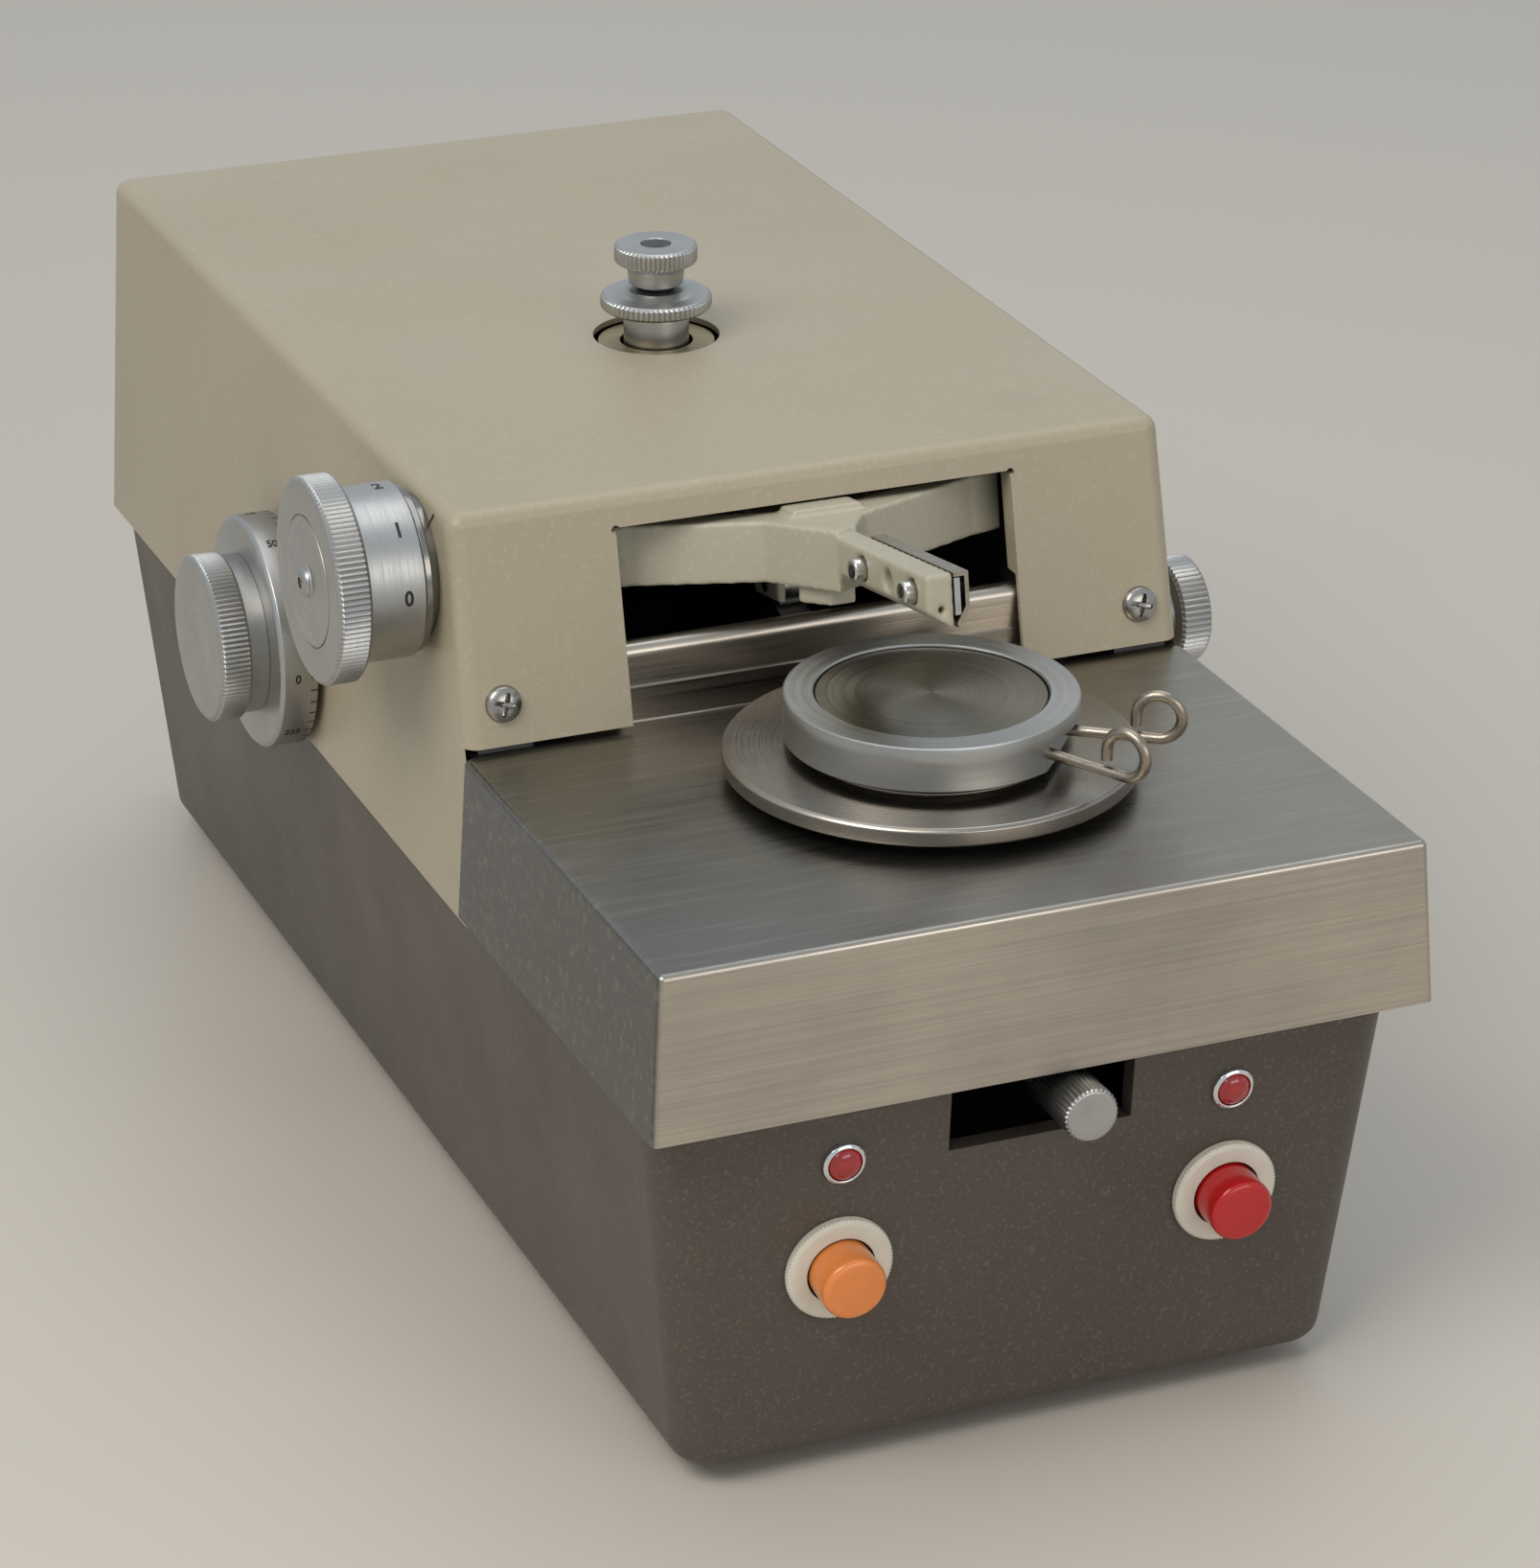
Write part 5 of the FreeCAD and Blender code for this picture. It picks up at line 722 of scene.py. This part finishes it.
def release_knob():
    low, high = node_box("release_knob")
    centre = node_middle("release_knob")
    body = 24.0
    rim = 6.75
    stem = 2.5
    length = high.y - low.y
    profile = [(0.3, 0), (0, 3.0), (0, rim - 0.8), (0.8, rim, "knurl"), (body - 0.8, rim, "knurl"),
               (body, rim - 0.8), (body, stem), (length, stem), (length, 0)]
    turned_piece("release_grip", profile, (centre.x, low.y, centre.z), REARWARD, ALUMINIUM, "release",
                 "release_knob", teeth=34, depth=0.6)


# Front panel

def front_panel():
    """Two push buttons in their bezels, with a pilot lamp above each.

    The left piece of each pair is the one named as standing for the node that holds both."""
    axis = joint_axis("start_press")[1]
    left = node_middle("start_button").x
    right = node_middle("stop_button").x
    button_level, lamp_level, lamp_shift = 56.0, 83.7, 0.3
    bezel = [(-2.4, 8.5), (-2.4, 11.9), (-1.9, 13.2, "knurl"), (-0.3, 13.2, "knurl"), (0.0, 12.9),
             (0.0, 8.5)]
    ring = [(-0.4, 4.15), (-1.5, 4.2), (-1.6, 4.6), (-1.1, 5.3), (0, 5.4), (0, 3.9)]
    dome = [(-2.9, 0), (-2.75, 1.5), (-2.3, 2.8), (-1.5, 3.8), (-0.9, 4.12), (-0.4, 4.12), (-0.4, 0)]
    for tag, x in (("left", left), ("right", right)):
        first = tag == "left"
        place = (x, base_front(button_level), button_level)
        turned_piece("bezel_" + tag, bezel, place, axis, CREAM, "frame",
                     "button_bezels" if first else None, teeth=86, depth=0.35, soften=0.3)
        place = (x + lamp_shift, base_front(lamp_level), lamp_level)
        turned_piece("lamp_ring_" + tag, ring, place, axis, CHROME, "frame",
                     "pilot_rings" if first else None, segments=64, soften=0.2)
        turned_piece("lamp_lens_" + tag, dome, place, axis, LENS, "frame",
                     "pilot_lenses" if first else None, segments=64, soften=0.4)
    out, radius, inner, depth = 11.4, 7.9, 4, 23
    cap = [(-out + 0.25, 0), (-out, 3.0), (-out, radius - 1.0), (-out + 0.9, radius), (-2.0, radius),
           (0.6, radius), (0.6, inner), (depth, inner), (depth, 0)]
    for body, x, material in (("start", left, ORANGE), ("stop", right, RED)):
        turned_piece(body + "_cap", cap, (x, base_front(button_level), button_level), axis, material, body,
                     body + "_button", soften=0.9, steps=5)


# Specimen table

def specimen_table():
    """The round plate and, in the ring's bore, the loose disc."""
    low, high = node_box("table_plate")
    centre = node_middle("table_plate")
    radius = 49.6
    spindle = 6
    under, top = 37.8, 42.7
    length = high.z - low.z
    bore = 27.5
    plate = [(0, 0), (0, spindle), (under, spindle), (under, radius - 0.8), (under + 0.8, radius),
             (top - 0.8, radius), (top, radius - 0.8), (top, bore + 3), (top + 0.5, bore + 3),
             (top + 0.5, bore), (length, bore), (length, 0)]
    turned_piece("table_disc", plate, (centre.x, centre.y, low.z), UPWARD, PLATE_STEEL, "table",
                 "table_plate", RIGHTWARD, segments=256, soften=0.3)
    low, high = node_box("specimen_disc")
    middle = node_middle("specimen_disc")
    stand = 0.6
    height = high.z - low.z + stand
    disc = [(0, 0), (0, bore - 0.3), (height - 0.2, bore), (height, bore - 0.3), (height, 0)]
    turned_piece("chuck_disc", disc, (middle.x, middle.y, low.z), UPWARD, DISC_STEEL, "disc",
                 "specimen_disc", RIGHTWARD, segments=192, soften=0.15)


RING_FLAT = 31.8


def chuck_ring():
    """The ring, with a flat cut under its top flange where the pins go in, built round the disc's axis."""
    low, high = node_box("specimen_ring")
    centre = node_middle("specimen_disc")
    height = high.z - low.z
    outer, bore = 35.1, 27.8
    flange = height - 4.0
    heading = math.radians(-38.5)
    count = 288
    edge = 0.35
    bm = bmesh.new()
    rows = [(0.0, "in", edge), (edge, "in", 0.0), (height - edge, "in", 0.0), (height, "in", edge),
            (height, "out", edge), (height - edge * 0.5, "out", edge * 0.25), (height - edge, "out", 0.0),
            (flange, "out", 0.0), (flange, "flat", 0.0), (edge, "flat", 0.0), (0.0, "flat", edge)]
    rings = []
    for z, wall, inset in rows:
        ring = []
        for i in range(count):
            angle = 2 * math.pi * i / count
            r = bore + inset if wall == "in" else outer - inset
            away = math.cos(angle - heading)
            if wall == "flat" and away > 0.5:
                r = min(r, (RING_FLAT - inset) / away)
            ring.append(bm.verts.new((r * math.cos(angle) * MM, r * math.sin(angle) * MM, z * MM)))
        rings.append(ring)
    join_rings(bm, rings + rings[:1], count)
    bmesh.ops.remove_doubles(bm, verts=bm.verts, dist=1e-6)
    place = Matrix.Translation((centre.x * MM, centre.y * MM, low.z * MM))
    mesh = finish_mesh("chuck_ring", bm, 28.0)
    make_object("chuck_ring", mesh, RING_STEEL, "table", "specimen_ring", place)


def wire_curve(name, points, radius):
    """A round wire along points in millimetres."""
    curve = bpy.data.curves.new(name, "CURVE")
    curve.dimensions = "3D"
    curve.bevel_depth = radius * MM
    curve.bevel_resolution = 8
    curve.use_fill_caps = True
    spline = curve.splines.new("POLY")
    spline.points.add(len(points) - 1)
    for target, point in zip(spline.points, points):
        target.co = (*(Vector(point) * MM), 1.0)
    return curve


def eye_pins():
    """Two straight wires, each bent into an eye whose end stops just above the wire."""
    table = node_middle("table_plate")
    wire, loop, gap = 1.4, 5.4, 0.1
    inner = 29.5
    straight_steps, bend_steps, tail_steps = 8, 48, 4
    level = node_box("eye_pin_front")[0].z + wire
    for tag, angle, reach in (("front", -61.0, 29.5), ("rear", -36.0, 27.8)):
        heading = Vector((math.cos(math.radians(angle)), math.sin(math.radians(angle)), 0))
        end = RING_FLAT + reach - loop
        turns = [-math.pi / 2 + 1.5 * math.pi * i / bend_steps for i in range(bend_steps + 1)]
        drop = loop - 2 * wire - gap
        points = [(inner + (end - inner) * i / straight_steps, 0.0) for i in range(straight_steps)]
        points += [(end + loop * math.cos(turn), loop + loop * math.sin(turn)) for turn in turns]
        points += [(end - loop, loop - drop * i / tail_steps) for i in range(1, tail_steps + 1)]
        path = [Vector((table.x, table.y, level)) + heading * a + Vector((0, 0, b)) for a, b in points]
        name = "eye_pin_wire_" + tag
        make_object(name, wire_curve(name, path, wire), WIRE_STEEL, "pin_" + tag, "eye_pin_" + tag)


# Screws

def cross_head(name, origin, axis, node):
    """A round screw head with a tapered cross recess; local Z points into the seat."""
    radius, height = 4.6, 2.5
    steps, count = 14, 96
    slot, arm = radius * 0.15, radius * 0.62
    turn = 0.5
    bm = bmesh.new()
    rings = [[bm.verts.new((0, 0, height * (0.85 - 1) * MM))]]
    for k in range(1, steps + 1):
        share = k / steps
        dome = -height * math.sqrt(1 - (share * 0.93) ** 2) if k < steps else 0.0
        ring = []
        for i in range(count):
            angle = 2 * math.pi * i / count + turn
            x, y = radius * share * math.cos(angle), radius * share * math.sin(angle)
            near, far = sorted((abs(x), abs(y)))
            inside = near < slot * (1.0 - 0.45 * far / arm) and far < arm
            depth = height * (0.85 - 0.55 * far / arm) if inside else 0.0
            ring.append(bm.verts.new((x * MM, y * MM, (dome + depth) * MM)))
        rings.append(ring)
    join_rings(bm, rings, count)
    place = axis_place(Vector(origin) * MM, axis, (0.3, 0, 1))
    make_object(name, finish_mesh(name, bm, 40.0), NICKEL, "frame", node, place)


def hood_screws():
    """Two screws in the hood's front face and two in its rear face, square to the leaning faces."""
    middle = node_middle("hood_screws").x
    low, high = node_box("hood")
    front_level, front_spread = 154.3, 84.0
    rear_level, rear_spread = 111.0, 62.0
    rear_y = high.y - HOOD_REAR_LEAN * (rear_level - low.z) / (high.z - low.z)
    rake = math.atan(HOOD_FRONT_LEAN / (high.z - DECK_TOP))
    lean = math.atan(HOOD_REAR_LEAN / (high.z - low.z))
    front_axis = (0, math.cos(rake), -math.sin(rake))
    rear_axis = (0, -math.cos(lean), -math.sin(lean))
    node = "hood_screws"
    for name, spread, y, level, axis in (
            ("hood_screw_", front_spread, hood_front(front_level), front_level, front_axis),
            ("hood_rear_screw_", rear_spread, rear_y, rear_level, rear_axis)):
        for side, tag in ((-1, "left"), (1, "right")):
            cross_head(name + tag, (middle + side * spread, y, level), axis, node)
            node = None


def clamp_screws():
    """Hex socket screws in the raised arm's left flank, seen with their sockets."""
    low = node_box("clamp_screws")[0]
    pivot = joint_axis("arm_lift")[0]
    lift = math.radians(9.8)
    arm_length, first, pitch = 118.1, 9.0, 29.2
    above_pivot = 2.1
    stand = 1.0
    profile = [(1.8, 0), (1.8, 1.35, "hex"), (0.0, 1.35, "hex"), (0.0, 2.3), (0.4, 2.7), (5.6, 2.7),
               (5.6, 1.5), (12.0, 1.5), (12.0, 0)]
    node = "clamp_screws"
    for i in range(2):
        reach = first + pitch * i - arm_length
        y = pivot.y + reach * math.cos(lift) + above_pivot * math.sin(lift)
        z = pivot.z - reach * math.sin(lift) + above_pivot * math.cos(lift)
        turned_piece(f"clamp_screw_{i}", profile, (low.x - stand, y, z), RIGHTWARD, BRIGHT_STEEL, "arm",
                     node, segments=48, soften=0.15)
        node = None


# The upstand behind the table

def swept(name, outline, x_low, x_high, material):
    """A closed outline in Y and Z, in millimetres, drawn out along X between two end faces."""
    bm = bmesh.new()
    ends = [[bm.verts.new((x * MM, y * MM, z * MM)) for y, z in outline] for x in (x_low, x_high)]
    count = len(outline)
    for i in range(count):
        j = (i + 1) % count
        bm.faces.new((ends[0][i], ends[0][j], ends[1][j], ends[1][i]))
    bm.faces.new(ends[0])
    bm.faces.new(list(reversed(ends[1])))
    make_object(name, finish_mesh(name, bm), material, "frame")


def arch(y, z, radius):
    """Points over the top of a half circle, from front to rear."""
    steps = 24
    turns = [math.pi * i / steps for i in range(steps + 1)]
    return [(y - radius * math.cos(turn), z + radius * math.sin(turn)) for turn in turns]


def upstand():
    """The rolled bead on top, the stiffening strip along the foot, and the bend below it; the bead and the
    bend are in a lighter steel as a painted highlight.
    """
    middle = node_middle("deck").x
    half = 65.9
    ends = (middle - half, middle + half)
    face = FRONT + UPSTAND_BACK
    top = DECK_TOP + 20.0
    crown, skin, thickness = 3.0, 0.05, 0.6
    centre = (face + crown, top - crown)
    bead = arch(*centre, crown + skin) + arch(*centre, crown - thickness)
    swept("upstand_bead", bead, *ends, BEAD_STEEL_PAINTED_HIGHLIGHT)
    proud = 0.5
    behind = face + 0.2
    front = face - proud
    foot = DECK_TOP + skin
    edge = DECK_TOP + 9.0
    chamfer = edge + 0.4
    strip = [(behind, foot), (front, foot), (front, edge), (front + 0.3, chamfer), (behind, chamfer)]
    swept("upstand_strip", strip, *ends, UPSTAND_STEEL)
    bend = 0.55
    under = DECK_TOP + 0.02
    turns = [math.pi / 2 * i / 8 for i in range(9)]
    cove = [(front - bend + bend * math.sin(turn), foot + bend - bend * math.cos(turn)) for turn in turns]
    # The bend in the lighter steel: a painted highlight line.
    swept("upstand_bend", cove + [(front, under), (front - bend, under)], *ends, BEAD_STEEL_PAINTED_HIGHLIGHT)


# The cast arm

def soften_casting(name, cell, passes):
    """Rebuild a node's mesh evenly and smooth it, which rounds the edges as casting does."""
    item = NODES[name]
    remesh = item.modifiers.new("even", "REMESH")
    remesh.mode = "VOXEL"
    remesh.voxel_size = cell * MM
    remesh.use_smooth_shade = True
    smooth = item.modifiers.new("round", "SMOOTH")
    smooth.factor = 0.5
    smooth.iterations = passes


rate_dial()
rate_numbers()
rate_dial_face()
rate_collar()
feed_dial()
index_line()
force_knobs()
hand_knob()
release_knob()
front_panel()
specimen_table()
chuck_ring()
eye_pins()
hood_screws()
clamp_screws()
upstand()
soften_casting("arm_casting", 0.55, 7)


# Camera, light and floor

def camera():
    """The camera that was fitted to the photograph's edges and circles.

    The focal length and the picture's height are in the photograph's pixels."""
    azimuth, elevation, roll = (math.radians(v) for v in (-22.45, 23.996, 0.13))
    focal_pixels, picture_height, sensor = 5570.0, 1636.0, 36.0
    back = Vector((math.sin(azimuth) * math.cos(elevation), -math.cos(azimuth) * math.cos(elevation),
                   math.sin(elevation)))
    right = Vector(UPWARD).cross(back).normalized()
    up = back.cross(right)
    turned_right = right * math.cos(roll) + up * math.sin(roll)
    turned_up = -right * math.sin(roll) + up * math.cos(roll)
    data = bpy.data.cameras.new("camera")
    data.sensor_fit = "VERTICAL"
    data.sensor_height = sensor
    data.lens = focal_pixels * sensor / picture_height
    data.clip_start = 0.05
    data.clip_end = 20.0
    item = bpy.data.objects.new("camera", data)
    matrix = Matrix((turned_right, turned_up, back)).transposed().to_4x4()
    middle = node_middle("force_knob").x
    base_top = 102.0
    matrix.translation = Vector((middle - 471.5, FRONT - 974.1, base_top + 551.7)) * MM
    item.matrix_world = matrix
    bpy.context.scene.collection.objects.link(item)
    bpy.context.scene.camera = item


def area_light(name, place, target, size, power, color):
    data = bpy.data.lights.new(name, "AREA")
    data.shape = "RECTANGLE"
    data.size, data.size_y = size
    data.energy = power
    data.color = color
    item = bpy.data.objects.new(name, data)
    item.location = place
    item.rotation_euler = (Vector(target) - Vector(place)).to_track_quat("-Z", "Y").to_euler()
    bpy.context.scene.collection.objects.link(item)


def floor():
    size = 6.0
    mesh = bpy.data.meshes.new("floor")
    corners = [(-size, -size, 0), (size, -size, 0), (size, size, 0), (-size, size, 0)]
    mesh.from_pydata(corners, [], [(0, 1, 2, 3)])
    item = bpy.data.objects.new("floor", mesh)
    bpy.context.scene.collection.objects.link(item)
    mesh.materials.append(Material("floor", srgb(206, 200, 190), 0.5).data)


def world():
    """A soft daylight, and a pale background for the camera and for reflections."""
    studio = bpy.data.worlds.new("studio")
    bpy.context.scene.world = studio
    studio.use_nodes = True
    tree = studio.node_tree
    tree.nodes.clear()
    output = tree.nodes.new("ShaderNodeOutputWorld")
    mix = tree.nodes.new("ShaderNodeMixShader")
    for socket, color, strength in ((1, (0.9, 0.95, 1.0), 0.36), (2, srgb(196, 205, 212), 1.0)):
        light = tree.nodes.new("ShaderNodeBackground")
        light.inputs[0].default_value = (*color, 1.0)
        light.inputs[1].default_value = strength
        tree.links.new(light.outputs[0], mix.inputs[socket])
    path = tree.nodes.new("ShaderNodeLightPath")
    seen = path.outputs["Is Camera Ray"]
    for ray in ("Is Glossy Ray", "Is Transmission Ray"):
        either = tree.nodes.new("ShaderNodeMath")
        either.operation = "MAXIMUM"
        tree.links.new(seen, either.inputs[0])
        tree.links.new(path.outputs[ray], either.inputs[1])
        seen = either.outputs[0]
    tree.links.new(seen, mix.inputs[0])
    tree.links.new(mix.outputs[0], output.inputs[0])


camera()
area_light("key", (-1.2, -0.7, 1.65), (0, -0.05, 0.1), (1.4, 1.0), 22.5, (1.0, 0.955, 0.89))
area_light("top", (0.3, 0.4, 2.0), (0, 0.0, 0.1), (1.6, 1.6), 10.0, (0.97, 0.98, 1.0))
area_light("front", (0.6, -2.2, 0.9), (0, -0.1, 0.1), (1.6, 0.9), 10.0, (1.0, 0.95, 0.89))
floor()
world()
bpy.context.scene.view_settings.view_transform = "Standard"
